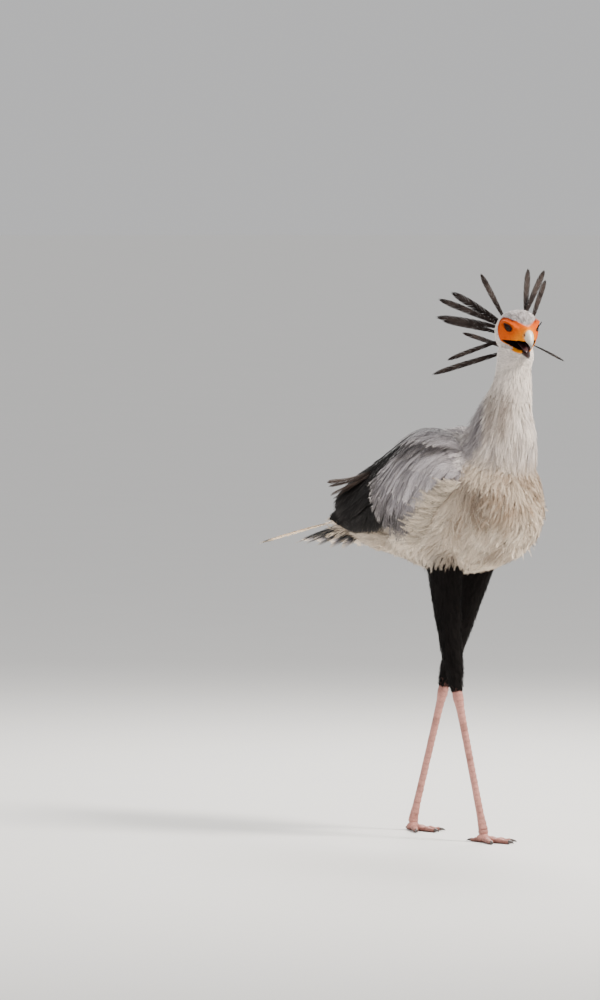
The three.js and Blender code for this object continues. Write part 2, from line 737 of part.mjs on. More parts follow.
function toe(leg, [, turn, length, thick], grow) {
  const way = toeWay(leg, turn);
  const root = V(...leg.toe);
  const radius = TOE_RADIUS * thick;
  const side = way.clone().cross(UPWARD);
  const rings = [];
  const steps = TOE_JOINTS * 2 - 1;
  for (let i = 0; i <= steps; i += 1) {
    const s = i / steps;
    const swell = 1 + 0.11 * Math.cos(2 * Math.PI * TOE_JOINTS * s);
    const r = radius * swell * mix(1.12, 0.72, s) + grow;
    const fall = Math.min(1, s * 3);
    const z = mix(root.z - 6, (r - grow) * 0.86, fall * (2 - fall));
    const [reach, rise] = i === 0 ? [-grow, 2 * grow] : [length * s, 0];
    const centre = V(root.x, root.y, 0).addScaledVector(way, reach).setZ(z + rise);
    rings.push(spanRing(centre.clone().add(V(0, 0, r)), centre.clone().sub(V(0, 0, r)), side, r * 1.06, 8));
  }
  return loft(rings);
}

function claw(leg, [, turn, length, thick]) {
  const way = toeWay(leg, turn);
  const side = way.clone().cross(UPWARD);
  const radius = TOE_RADIUS * thick * CLAW_SHARE;
  const size = CLAW_LENGTH * thick;
  const rows = [0, 0.3, 0.6, 0.85].map((s) => {
    const angle = rad(mix(0, 62, s));
    const centre = V(...leg.toe)
      .setZ(0)
      .addScaledVector(way, length + GAP + size * Math.sin(angle) * 0.95)
      .setZ(radius * 1.15 + size * (Math.cos(angle) - 1) * 0.42 + radius * 0.3 * s);
    const r = radius * mix(1, 0.42, s);
    const lean = angle * 0.6;
    const reach = V(0, 0, Math.cos(lean)).addScaledVector(way, Math.sin(lean)).multiplyScalar(r);
    return { centre, r, reach };
  });
  const rings = rows.map(({ centre, r, reach }) =>
    spanRing(centre.clone().add(reach), centre.clone().sub(reach), side, r * 0.85, 8),
  );
  const last = rows.at(-1).centre;
  const tip = last.clone().addScaledVector(way, size * 0.1).setZ(1.4);
  return keepPast(loft([...rings, [tip]]), V(0, 0, 0.4), UPWARD);
}

const PAD = { z: 9, halves: [15, 16, 10.5] };
function foot(leg, grow = 0) {
  const toes = TOES.map((row) => toe(leg, row, grow));
  const [x, y, z] = PAD.halves.map((half) => half + grow);
  const pad = ellipsoid(V(leg.toe[0], leg.toe[1], PAD.z), [V(x, 0, 0), V(0, y, 0), V(0, 0, z)], 12, 7);
  return keepPast(union([...toes, pad]), V(0, 0, 0), UPWARD);
}

// The bird, piece by piece
const group = new THREE.Group();

function addPiece(name, solid, finish) {
  const { numProp, vertProperties, triVerts, numVert } = solid.getMesh();
  const positions = new Float32Array(numVert * 3);
  for (let i = 0; i < numVert; i += 1) {
    const spot = vertProperties.subarray(i * numProp, i * numProp + 3);
    positions.set(spot.map((v) => Math.round(v / GRID) * GRID), i * 3);
  }
  const loose = new THREE.BufferGeometry();
  loose.setAttribute("position", new THREE.BufferAttribute(positions, 3));
  loose.setIndex(new THREE.BufferAttribute(new Uint32Array(triVerts), 1));
  const geometry = mergeVertices(loose, GRID / 10);
  const corners = Array.from(geometry.index.array);
  const kept = corners.flatMap((a, i) => {
    const [b, c] = [corners[i + 1], corners[i + 2]];
    return i % 3 || a === b || b === c || a === c ? [] : [a, b, c];
  });
  geometry.setIndex(kept);
  geometry.computeVertexNormals();
  const [color, roughness] = COLOURS[finish];
  const mesh = new THREE.Mesh(geometry, new THREE.MeshStandardMaterial({ color, roughness, metalness: 0 }));
  mesh.name = name;
  group.add(mesh);
}

const neckForm = neck();
const trunkForm = trunk();
const upperBill = largest(billHalf(UPPER_BILL, UPPER_BILL_TIP).subtract(nostril(-1)).subtract(nostril(1)));
const lowerBill = billHalf(LOWER_BILL, LOWER_BILL_TIP);
const tongueForm = tongue();
const headAndNeck = union([headCore(), keepPast(neckForm, V(0, 0, 1040), UPWARD)]);
const hollowHead = headAndNeck.subtract(
  union([
    mouthWedge(),
    billHalf(UPPER_BILL, UPPER_BILL_TIP, GAP),
    billHalf(LOWER_BILL, LOWER_BILL_TIP, GAP),
    tongue(GAP),
  ]),
);
const head = union([keepPast(hollowHead, ...aboveCut(NAPE_CUT)), ...crest()]);

addPiece("head", largest(head.subtract(keepPast(neckForm, ...belowCut(NAPE_CUT)))), "feather_grey");
addPiece("bill_upper", upperBill, "bill_horn");
addPiece("bill_lower", largest(lowerBill.subtract(tongue(GAP))), "bill_horn");
addPiece("tongue", tongueForm, "mouth");
for (const [name, side] of [["left", 1], ["right", -1]]) {
  addPiece(`eye_${name}`, ball(eyeCentre(side), EYE_RADIUS, 14, 8), "eye");
}
const neckBelow = keepPast(neckForm, ...belowCut(NAPE_CUT));
addPiece("neck", largest(keepPast(neckBelow, ...aboveCut(SHOULDER_CUT))), "feather_white");
const shoulders = keepPast(union([trunkForm, neckForm]), ...belowCut(SHOULDER_CUT));
addPiece("torso", largest(shoulders), "feather_white");
addPiece("tail", tail(), "feather_black");

for (const [name, leg] of Object.entries(LEGS)) {
  leg.name = name;
  addPiece(`wing_${name}`, wing(leg.side), "feather_grey");
  addPiece(`thigh_${name}`, trousers(leg), "feather_black");
  addPiece(`shank_${name}`, shank(leg), "leg_pink");
  addPiece(`foot_${name}`, largest(foot(leg)), "leg_pink");
  for (const row of TOES) addPiece(`claw_${row[0]}_${name}`, claw(leg, row), "claw");
}

// The origin goes under the middle of the whole bird.
const middle = new THREE.Box3().setFromObject(group).getCenter(V(0, 0, 0));
group.position.set(-Math.round(middle.x / GRID) * GRID, -Math.round(middle.y / GRID) * GRID, 0);

export default group;
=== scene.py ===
"""A life-size secretary bird in mid-stride: its skin, feathers, face, bill and legs, in a pale studio.

Shapes are worked out in millimetres in the bird's own frame: it faces -Y, its left side is +X, and the
origin is on the floor between its hips. They are moved into the record's frame when a piece is made.
"""

import itertools
import math

import bmesh
import bpy
import numpy as np
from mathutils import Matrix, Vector
from mathutils.bvhtree import BVHTree


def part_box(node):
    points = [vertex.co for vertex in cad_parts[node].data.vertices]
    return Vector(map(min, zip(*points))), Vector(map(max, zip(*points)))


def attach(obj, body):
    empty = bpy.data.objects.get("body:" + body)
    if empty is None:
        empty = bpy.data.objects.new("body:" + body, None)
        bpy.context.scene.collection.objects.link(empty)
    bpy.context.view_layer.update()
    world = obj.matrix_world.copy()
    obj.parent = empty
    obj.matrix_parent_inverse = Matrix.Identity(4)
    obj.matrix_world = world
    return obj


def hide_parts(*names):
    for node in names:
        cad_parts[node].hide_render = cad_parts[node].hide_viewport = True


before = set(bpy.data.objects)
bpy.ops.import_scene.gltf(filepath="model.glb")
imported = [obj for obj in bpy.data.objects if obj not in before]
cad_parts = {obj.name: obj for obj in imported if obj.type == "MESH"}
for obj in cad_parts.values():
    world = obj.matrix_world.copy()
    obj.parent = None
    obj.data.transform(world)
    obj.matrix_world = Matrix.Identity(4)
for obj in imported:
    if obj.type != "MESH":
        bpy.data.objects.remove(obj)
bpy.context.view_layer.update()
draw = np.random.default_rng(20240711)

# Driving sizes, as in the solids
EYE_HEIGHT = 1153
EYE_FORWARD = 192
HEAD_YAW = -20
HEAD_PITCH = 16
EYE_RADIUS = 11.5
EYE_SPACING = 54
EYE_BACK = -3
GAZE_FORWARD = 33
EYE_OPENING = (9.6, 6.2)  # half length and half height between the lids
EYE_SLANT = 0.14  # how steeply the opening falls towards the bill
SCUTES = 24
TOE_RADIUS = 7.5
CLAW_LENGTH = 17

SIDES = {"left": 1, "right": -1}

# Mesh sizes and patches of the bake map
BODY_VOXEL = 3.8
HEAD_VOXEL = 1.1
HEAD_THINNING = 0.32  # share of the head's faces that is kept
BAKE_PATCH = 0.003  # side of a small feather's patch of the bake map
CELL_ROWS = 12
CELL_MARGIN = 0.003
CELL_FILL = 0.9


# Small helpers

def unit(v):
    v = np.asarray(v, float)
    return v / np.maximum(np.linalg.norm(v, axis=-1, keepdims=True), 1e-9)


def mix(a, b, s):
    return a + (b - a) * s


def ramp(x, low, high):
    """0 below low, 1 above high, and smooth between."""
    s = np.clip((np.asarray(x, float) - low) / (high - low), 0, 1)
    return s * s * (3 - 2 * s)


def colour(red, green, blue):
    """A colour given as it looks on a screen, from 0 to 255, as linear light."""
    c = np.array((red, green, blue), float) / 255
    return np.where(c <= 0.04045, c / 12.92, ((c + 0.055) / 1.055) ** 2.4)


def track(rows):
    """A smooth curve through a table's rows: the first column is the key, the rest are read at any key."""
    table = np.array(rows, float)
    keys, values = table[:, 0], table[:, 1:]
    before, after = np.r_[0, : len(keys) - 1], np.r_[1 : len(keys), len(keys) - 1]
    slopes = (values[after] - values[before]) / (keys[after] - keys[before])[:, None]

    def read(key):
        key = np.asarray(key, float)
        i = np.clip(np.searchsorted(keys, key) - 1, 0, len(keys) - 2)
        span = (keys[i + 1] - keys[i])[..., None]
        s = (key - keys[i])[..., None] / span
        t = np.clip(s, 0, 1)
        a, b, slope_a, slope_b = values[i], values[i + 1], slopes[i] * span, slopes[i + 1] * span
        t2, t3 = t * t, t * t * t
        inside = a * (2 * t3 - 3 * t2 + 1) + slope_a * (t3 - 2 * t2 + t)
        inside = inside + b * (3 * t2 - 2 * t3) + slope_b * (t3 - t2)
        return inside + np.where(s < 0, slope_a, slope_b) * (s - t)

    return read


def through(rows, count):
    """Rows at even steps along a smooth curve through a table's rows."""
    keyed = [[i, *row] for i, row in enumerate(rows)]
    return track(keyed)(np.linspace(0, len(rows) - 1, count))


def lumps(points, size, seed):
    """Smooth noise from 0 to 1, with lumps about size across."""
    cell = np.asarray(points) / size
    base = np.floor(cell).astype(np.int64)
    part = cell - base
    part = part * part * (3 - 2 * part)
    total = 0
    for corner in itertools.product((0, 1), repeat=3):
        spot = base + np.array(corner)
        mixed = spot[..., 0] * 73856093 ^ spot[..., 1] * 19349663 ^ spot[..., 2] * 83492791 ^ seed * 26544357
        mixed = ((mixed & 0xFFFFFFFF) ^ ((mixed & 0xFFFFFFFF) >> 13)) * 1274126177 & 0xFFFFFFFF
        value = ((mixed ^ (mixed >> 16)) & 0xFFFF) / 65535
        total = total + value * np.prod(np.where(corner, part, 1 - part), axis=-1)
    return total


# The head's own axes: forwards, to its left and up, from the point midway between the eyes

YAW, PITCH = math.radians(HEAD_YAW), math.radians(HEAD_PITCH)
FORWARD = np.array((math.sin(YAW) * math.cos(PITCH), -math.cos(YAW) * math.cos(PITCH), -math.sin(PITCH)))
LEFT = np.array((math.cos(YAW), math.sin(YAW), 0))
CROWN = np.cross(LEFT, FORWARD) * np.sign(np.cross(LEFT, FORWARD)[2])
HEAD_MIDDLE = np.array((0, -EYE_FORWARD, EYE_HEIGHT), float)
UPWARD = np.array((0.0, 0, 1))
ACROSS = np.array((1.0, 0, 0))


def on_head(forward, left, up):
    parts = np.broadcast_arrays(*(np.asarray(v, float)[..., None] for v in (forward, left, up)))
    return HEAD_MIDDLE + parts[0] * FORWARD + parts[1] * LEFT + parts[2] * CROWN


def head_place(points):
    """Forward, left and up of points, in the head's axes."""
    away = np.asarray(points) - HEAD_MIDDLE
    return away @ FORWARD, away @ LEFT, away @ CROWN


def frame_shift():
    """From the bird's own frame to the record's, found from the middle of the two eyes."""
    corners = [np.array(c) for side in ("left", "right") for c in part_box(f"eye_{side}")]
    return np.mean(corners, axis=0) * 1000 - on_head(EYE_BACK, 0, 0)


SHIFT = frame_shift()


# Making and reading meshes

def own_edges(loop):
    """The edges that join a loop's points to one another."""
    own = set(loop)
    return list({e for v in loop for e in v.link_edges if e.other_vert(v) in own})


def ring(bm, a, b, side, half, count, power=2.0):
    """A closed loop of edges between two opposite points. A power over 2 makes it fuller."""
    loop = bmesh.ops.create_circle(bm, segments=count, radius=1)["verts"]
    middle, reach = (a + b) / 2, (a - b) / 2

    def full(v):
        return math.copysign(abs(v) ** (2 / power), v)

    for vert in loop:
        across, along = full(vert.co.x), full(vert.co.y)
        vert.co = Vector(middle + reach * along + side * (half * across))
    return own_edges(loop)


def loft(bm, loops, tip=None):
    """A skin over loops of edges, closed flat at its start and at its end, or run to a tip."""
    for before, after in zip(loops, loops[1:]):
        bmesh.ops.bridge_loops(bm, edges=before + after)
    bmesh.ops.edgeloop_fill(bm, edges=loops[0])
    if tip is None:
        bmesh.ops.edgeloop_fill(bm, edges=loops[-1])
        return
    pulled = bmesh.ops.extrude_edge_only(bm, edges=loops[-1])["geom"]
    ends = [v for v in pulled if isinstance(v, bmesh.types.BMVert)]
    bmesh.ops.pointmerge(bm, verts=ends, merge_co=Vector(tip))


def new_object(name, mesh):
    made = bpy.data.objects.new(name, mesh)
    bpy.context.scene.collection.objects.link(made)
    return made


def mesh_of(bm, name):
    bmesh.ops.recalc_face_normals(bm, faces=bm.faces)
    mesh = bpy.data.meshes.new(name)
    bm.to_mesh(mesh)
    bm.free()
    return mesh


def applied(obj):
    """The object's mesh with its modifiers applied; the object itself is removed."""
    graph = bpy.context.evaluated_depsgraph_get()
    mesh = bpy.data.meshes.new_from_object(obj.evaluated_get(graph))
    bpy.data.objects.remove(obj)
    return mesh


def remeshed(mesh, voxel):
    obj = new_object("shape_in_work", mesh)
    remesh = obj.modifiers.new("one_skin", "REMESH")
    remesh.mode = "VOXEL"
    remesh.voxel_size = voxel
    return applied(obj)


def thinned(mesh, ratio):
    """Fewer faces, kept where the form bends most."""
    obj = new_object("shape_in_work", mesh)
    thin = obj.modifiers.new("fewer_faces", "DECIMATE")
    thin.ratio = ratio
    return applied(obj)


def cut_away(mesh, tool_mesh):
    obj, tool = new_object("shape_in_work", mesh), new_object("tool", tool_mesh)
    cut = obj.modifiers.new("cut", "BOOLEAN")
    cut.operation = "DIFFERENCE"
    cut.object = tool
    made = applied(obj)
    bpy.data.objects.remove(tool)
    return made


def smoothed(mesh, times):
    every_axis = {"use_axis_x": True, "use_axis_y": True, "use_axis_z": True}
    bm = bmesh.new()
    bm.from_mesh(mesh)
    for _ in range(times):
        bmesh.ops.smooth_vert(bm, verts=bm.verts, factor=0.5, **every_axis)
    bm.to_mesh(mesh)
    bm.free()
    return mesh


def points_of(mesh):
    flat = np.empty(len(mesh.vertices) * 3)
    mesh.vertices.foreach_get("co", flat)
    return flat.reshape(-1, 3)


def normals_of(mesh):
    flat = np.empty(len(mesh.vertices) * 3)
    mesh.vertex_normals.foreach_get("vector", flat)
    return flat.reshape(-1, 3)


def put_points(mesh, points):
    mesh.vertices.foreach_set("co", np.asarray(points, float).ravel())
    mesh.update()


def paint(mesh, tints):
    """Keeps a colour for each point, or one for all, as an attribute that the materials read."""
    layer = mesh.attributes.new("tint", "FLOAT_COLOR", "POINT")
    rgba = np.ones((len(mesh.vertices), 4), np.float32)
    rgba[:, :3] = tints
    layer.data.foreach_set("color", rgba.ravel())


def piece(name, mesh, material, replaced=()):
    """A finished piece of the bird, moved from its own frame into the record's."""
    put_points(mesh, (points_of(mesh) + SHIFT) / 1000)
    mesh.name = name
    mesh.polygons.foreach_set("use_smooth", np.ones(len(mesh.polygons), bool))
    mesh.materials.clear()
    mesh.materials.append(material)
    made = new_object(name, mesh)
    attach(made, "root")
    if replaced:
        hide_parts(*replaced)
    return made


# Materials

class Value:
    """A socket whose arithmetic adds Math nodes."""

    def __init__(self, recipe, socket):
        self.recipe, self.socket = recipe, socket

    def _math(self, operation, first, second):
        return self.recipe.node("ShaderNodeMath", {"operation": operation}, {0: first, 1: second})

    def __add__(self, other):
        return self._math("ADD", self, other)

    def __mul__(self, other):
        return self._math("MULTIPLY", self, other)

    __radd__, __rmul__ = __add__, __mul__


class Recipe:
    """One material under construction."""

    def __init__(self, name, **constants):
        self.material = bpy.data.materials.new(name)
        self.material.use_nodes = True
        self.tree = self.material.node_tree
        self.shader = self.tree.nodes["Principled BSDF"]
        for socket, value in constants.items():
            self.shader.inputs[socket.replace("_", " ")].default_value = value

    def node(self, kind, settings=None, inputs=None, output=0):
        made = self.tree.nodes.new(kind)
        for name, value in (settings or {}).items():
            if name == "stops":
                self._stops(made.color_ramp, value)
            else:
                setattr(made, name, value)
        for key, value in (inputs or {}).items():
            if isinstance(value, Value):
                self.tree.links.new(value.socket, made.inputs[key])
            else:
                made.inputs[key].default_value = value
        return Value(self, made.outputs[output])

    def _stops(self, ramp_data, stops):
        while len(ramp_data.elements) < len(stops):
            ramp_data.elements.new(1)
        for element, (place, shade) in zip(ramp_data.elements, stops):
            element.position = place
            element.color = (shade, shade, shade, 1)

    def attribute(self, name, output="Color"):
        return self.node("ShaderNodeAttribute", {"attribute_name": name}, output=output)

    def place(self):
        return self.node("ShaderNodeTexCoord", output="Object")

    def noise(self, scale, detail):
        inputs = {"Vector": self.place(), "Scale": scale, "Detail": detail, "Roughness": 0.6}
        return self.node("ShaderNodeTexNoise", inputs=inputs)

    def cells(self, scale):
        """The distance to the edge of the nearest cell."""
        inputs = {"Vector": self.place(), "Scale": scale}
        return self.node("ShaderNodeTexVoronoi", {"feature": "DISTANCE_TO_EDGE"}, inputs)

    def shaded(self, tint, amount):
        """A colour made lighter and darker by a value near 1."""
        grey = self.node("ShaderNodeCombineColor", inputs={0: amount, 1: amount, 2: amount})
        return self.node("ShaderNodeVectorMath", {"operation": "MULTIPLY"}, {0: tint, 1: grey})

    def feed(self, socket, value):
        self.tree.links.new(value.socket, self.shader.inputs[socket])

    def bump(self, height, strength, distance):
        inputs = {"Height": height, "Strength": strength, "Distance": distance}
        self.feed("Normal", self.node("ShaderNodeBump", inputs=inputs, output="Normal"))


def feather_material(name, roughness, sheen, specular=0.2, relief=0.2):
    recipe = Recipe(name, Sheen_Weight=sheen, Sheen_Roughness=0.5, Specular_IOR_Level=specular)
    fine = recipe.noise(900, detail=2)
    recipe.feed("Base Color", recipe.shaded(recipe.attribute("tint"), fine * 0.24 + 0.88))
    recipe.feed("Roughness", fine * 0.2 + (roughness - 0.1))
    ridges = recipe.node("ShaderNodeMath", {"operation": "SINE"}, {0: recipe.attribute("ridge", "Fac") * 19})
    recipe.bump(ridges + fine, relief, 0.0004)
    return recipe.material


def face_material():
    recipe = Recipe("bare_and_feathered_skin", Specular_IOR_Level=0.06)
    pores = recipe.cells(620)
    folds = recipe.noise(260, detail=4)
    recipe.feed("Base Color", recipe.shaded(recipe.attribute("tint"), folds * 0.5 + 0.75))
    recipe.feed("Roughness", folds * 0.3 + 0.45)
    recipe.bump(pores + folds * 2, 0.5, 0.0008)
    return recipe.material


def leg_material():
    recipe = Recipe("scaled_leg_skin", Specular_IOR_Level=0.4)
    plates = recipe.cells(210)
    edge = recipe.node("ShaderNodeValToRGB", {"stops": ((0, 0.72), (0.12, 1))}, {0: plates})
    stain = recipe.noise(60, detail=5)
    shade = recipe.node("ShaderNodeSeparateColor", inputs={0: edge})
    recipe.feed("Base Color", recipe.shaded(recipe.attribute("tint"), shade * (stain * 0.7 + 0.65)))
    recipe.feed("Roughness", stain * 0.3 + 0.42)
    recipe.bump(plates + stain * 0.3, 0.6, 0.0011)
    return recipe.material


def horn_material(name, roughness):
    recipe = Recipe(name, Coat_Weight=0.25, Coat_Roughness=0.2)
    streaks = recipe.noise(140, detail=5)
    scratches = recipe.noise(1100, detail=2)
    recipe.feed("Base Color", recipe.shaded(recipe.attribute("tint"), streaks * 0.45 + 0.78))
    recipe.feed("Roughness", streaks * 0.25 + (roughness - 0.12))
    recipe.bump(streaks + scratches * 0.3, 0.25, 0.0006)
    return recipe.material


def mouth_material():
    recipe = Recipe("moist_mouth_skin", Coat_Weight=0.5, Coat_Roughness=0.15)
    folds = recipe.noise(420, detail=3)
    recipe.feed("Base Color", recipe.shaded(recipe.attribute("tint"), folds * 0.6 + 0.7))
    recipe.feed("Roughness", folds * 0.25 + 0.3)
    recipe.bump(folds, 0.4, 0.0006)
    return recipe.material


def eye_material():
    recipe = Recipe("wet_eye", Coat_Weight=0.0, Specular_IOR_Level=0.12)
    fibres = recipe.noise(1500, detail=3)
    recipe.feed("Base Color", recipe.shaded(recipe.attribute("tint"), fibres * 0.8 + 0.6))
    recipe.feed("Roughness", fibres * 0.05 + 0.05)
    return recipe.material


PLUMAGES = {
    "plumage_white": feather_material("white_plumage", 0.9, 0.2, relief=0.1),
    "plumage_grey": feather_material("grey_plumage", 0.8, 0.1),
    "plumage_black": feather_material("black_plumage", 0.7, 0.0, specular=0.12, relief=0.3),
}
FACE = face_material()
LEG_SKIN = leg_material()
BILL_HORN = horn_material("bill_horn", 0.36)
CLAW_HORN = horn_material("claw_horn", 0.42)
MOUTH = mouth_material()
EYE = eye_material()


# Markings, the same for skin and coat

CREAM = colour(230, 215, 196)
BUFF = colour(148, 126, 104)
PALE_GREY = colour(232, 222, 214)
SILVER = colour(174, 167, 169)
GREY = colour(142, 136, 139)
DARK_GREY = colour(82, 75, 76)
LOW_GREY = colour(118, 111, 112)
# brown of the stains, also used for painted shade on the breast and neck
STAIN_AND_SHADE_BROWN = colour(92, 74, 60)
BLACK = colour(17, 13, 12)
FLANK_CREAM = colour(204, 189, 170)
FACE_ORANGE = colour(190, 76, 0)
FACE_RED = colour(96, 26, 4)
FACE_YELLOW = colour(214, 128, 0)
# a painted shadow of the brow and lashes round each eye
EYE_BROW_SHADOW = colour(46, 22, 12)
# painted shade inside the open mouth
MOUTH_PAINTED_SHADE = colour(26, 10, 10)
WORN_BROWN = colour(58, 44, 36)
CREST_BLACK = colour(25, 16, 13)
CREST_WASH = colour(80, 69, 64)
LID_BROWN = colour(46, 26, 18)
LASH_BLACK = colour(20, 16, 16)
IRIS_BROWN = colour(44, 22, 10)
IRIS_RIM = colour(18, 9, 6)
EYE_WHITE = colour(30, 20, 16)  # dark in this bird, and all but hidden by the lids
HORN_PALE = colour(196, 188, 174)
HORN_GREY = colour(96, 96, 98)
# a painted highlight along the bill's ridge
HORN_PAINTED_HIGHLIGHT = colour(232, 226, 212)
LOWER_HORN = colour(122, 118, 112)
# painted shade in the nostrils' pits
NOSTRIL_PAINTED_SHADE = colour(12, 8, 6)
# the tongue's red, darkened as painted shade inside the mouth
TONGUE_RED_IN_SHADE = colour(52, 22, 22)
PINK = colour(186, 130, 118)
PINK_DARK = colour(122, 76, 66)
CLAW_ROOT = colour(74, 62, 58)
CLAW_TIP = colour(28, 24, 24)

# Where white gives way to grey on the neck, shoulder and flank: height, then the Y behind which it is grey
GREY_EDGE = track([
    (600, 110), (640, 85), (673, 61), (715, 38), (753, 6), (790, -42), (816, -86),
    (860, -114), (905, -130), (950, -122), (1000, -112), (1060, -104), (1110, -96),
])
# Two brown stains low on the belly and a painted shadow on the breast beside the wing, each as place and
# reach
STAINS_AND_PAINTED_SHADOW = [(-39, -150, 648, 52), (-108, -16, 636, 34), (-88, -152, 796, 54)]  # brown stains: place and reach
VENT_Y = 262  # behind this the rump and the vent are white
TROUSER_TOP = 638
TERTIAL_Y = 140  # behind this the back between the wings is black

# Outline of the bare skin of the face, seen from the side, as forward and up in the head's axes
BARE_OUTLINE = [
    (-38, 7), (-31, 16), (-14, 20), (10, 19.5), (28, 13), (42, 9), (42, -53.5),
    (22, -44), (3, -39), (-8, -36.5), (-18, -34.5), (-27, -22), (-35, -8),
]
MOUTH_OUTLINE = [(-17, -32), (27, -22), (64, -19), (64, -54), (27, -43.5)]
# Inside this outline the mouth is painted dark as its shade.
MOUTH_SHADE_OUTLINE = [(-19, -32.5), (27, -22), (64, -19), (64, -58), (27, -46.5)]  # down to the lower lip's rim

# The painted shadow of the brow and lashes round each eye: where its middle lies along and across the
# opening, and its half sizes
BROW_SHADOW_MIDDLE = (-5, 1.5)
BROW_SHADOW_HALF = (14, 7.5)


def inside_by(outline, x, y):
    """How far points lie inside a closed outline, and less than 0 outside it."""
    corners = np.array(outline, float)
    nearest = np.full(np.shape(x), 1e9)
    within = np.zeros(np.shape(x), bool)
    for (ax, ay), (bx, by) in zip(corners, np.roll(corners, -1, axis=0)):
        s = np.clip(((x - ax) * (bx - ax) + (y - ay) * (by - ay)) / ((bx - ax) ** 2 + (by - ay) ** 2), 0, 1)
        nearest = np.minimum(nearest, np.hypot(x - ax - s * (bx - ax), y - ay - s * (by - ay)))
        crosses = (ay > y) != (by > y)
        slope = (bx - ax) / (by - ay if by != ay else 1)
        within ^= crosses & (x < ax + (y - ay) * slope)
    return np.where(within, nearest, -nearest)


def bare_face(points):
    f, _, u = head_place(points)
    return inside_by(BARE_OUTLINE, f, u)


def open_mouth(points):
    f, _, u = head_place(points)
    return inside_by(MOUTH_OUTLINE, f, u)


def leg_path(leg, share):
    """Points down the middle of a feathered upper leg, from the knee to the ankle."""
    knee, bend, ankle = (np.array(leg[key], float) for key in ("knee", "thigh", "ankle"))
    s = np.asarray(share, float)[..., None]
    return (1 - s) ** 2 * knee + 2 * s * (1 - s) * bend + s * s * ankle


LEGS = {
    "right": {
        "side": -1, "turn": 8,
        "knee": (-74, -12, 640), "thigh": (-68, -9, 520), "ankle": (-51, -28, 338), "toe": (-38, -104, 27),
    },
    "left": {
        "side": 1, "turn": -4,
        "knee": (74, 30, 640), "thigh": (68, 78, 520), "ankle": (50, 130, 338), "toe": (38, 224, 27),
    },
}
THIGH_REACH = 60  # how far from the leg's middle line its feathers may be


def on_thigh(points):
    """True for points of the feathered upper legs, below the belly."""
    points = np.asarray(points)
    below = points[..., 2] < TROUSER_TOP
    near = np.zeros(below.shape, bool)
    for leg in LEGS.values():
        path = leg_path(leg, np.linspace(0, 1, 13))
        for a in path:
            flat = np.hypot(points[..., 0] - a[0], points[..., 1] - a[1])
            near |= (flat < THIGH_REACH) & (np.abs(points[..., 2] - a[2]) < 20)
    return below & near


def head_share(points):
    """0 on the neck and body, 1 on the head."""
    return ramp((points - np.array((0, -160, 1062))) @ np.array((0, 0.36, 0.93)), -14, 10)


def neck_share(points):
    return ramp((points - np.array((0, -120, 890))) @ np.array((0, -0.24, 0.97)), -40, 30)


def plumage(points):
    """The colour of the coat at places on the body."""
    x, y, z = points[..., 0], points[..., 1], points[..., 2]
    patchy = lumps(points, 26, 3)
    streaky = lumps(points * (1, 1, 0.35), 9, 5)
    edge = GREY_EDGE(z)[..., 0] + 16 * (patchy - 0.5)
    grey = ramp(y - edge, -7, 7) * (1 - ramp(y, VENT_Y - 22, VENT_Y + 10))
    grey = grey * (1 - ramp(y, 30, 70) * (1 - ramp(z, 690, 706)))
    neck, head = neck_share(points), head_share(points)

    breast = ramp(z, 690, 780) * (1 - ramp(z, 880, 960)) * (1 - ramp(y, -110, -40))
    buff = 0.4 * ramp(patchy, 0.4, 0.8) + 0.34 * ramp(streaky, 0.45, 0.85) + 0.55 * breast
    white = mix(CREAM, BUFF, np.clip(buff, 0, 1)[..., None])
    low = ramp(z, 700, 630) * ramp(lumps(points, 40, 9), 0.45, 0.75)
    # Brown stains low on the belly, and the painted shadow on the breast beside the wing.
    for *middle, reach in STAINS_AND_PAINTED_SHADOW:
        away = np.linalg.norm(points - np.array(middle), axis=-1)
        low = np.maximum(low, 1.25 * (1 - ramp(away, 0, reach)) * ramp(streaky, 0.1, 0.6))
    white = mix(white, STAIN_AND_SHADE_BROWN, (0.6 * low)[..., None])
    white = mix(white, PALE_GREY, (0.75 * np.maximum(neck, head))[..., None])
    strands = lumps(points * (1, 1, 0.12), 7, 17)
    white = mix(white, GREY, (0.5 * neck * (1 - ramp(z, 960, 1040)) * ramp(strands, 0.45, 0.85))[..., None])
    # A brownish band down the neck's shaded side: painted shade with a smudge in it.
    neck_smudge_and_shade = np.exp(-(((x + 38) / 28) ** 2)) * ramp(z, 850, 930) * (1 - ramp(z, 985, 1050)) * (y < -130)
    white = mix(white, mix(BUFF, STAIN_AND_SHADE_BROWN, 0.5), (0.6 * neck_smudge_and_shade * ramp(strands, 0.1, 0.6))[..., None])
    slate = mix(GREY, DARK_GREY, (0.6 * ramp(streaky, 0.5, 0.9))[..., None])
    slate = mix(slate, PALE_GREY, (0.45 * ramp(patchy, 0.45, 0.85))[..., None])
    grey = grey * mix(1, 0.85, neck) * (1 - ramp(z, 985, 1050))
    slate = mix(slate, BLACK, (ramp(y, TERTIAL_Y - 12, TERTIAL_Y + 12) * ramp(z, 740, 770))[..., None])
    high = ramp(head_place(points)[2], -4, 20)
    mottled = ramp(lumps(points, 3.4, 27), 0.3, 0.75)
    crown = mix(PALE_GREY, mix(SILVER, DARK_GREY, 0.8 * mottled[..., None]), (0.85 * high)[..., None])
    tint = mix(mix(white, slate, grey[..., None]), crown, head[..., None])
    return np.where(on_thigh(points)[..., None], BLACK, tint)


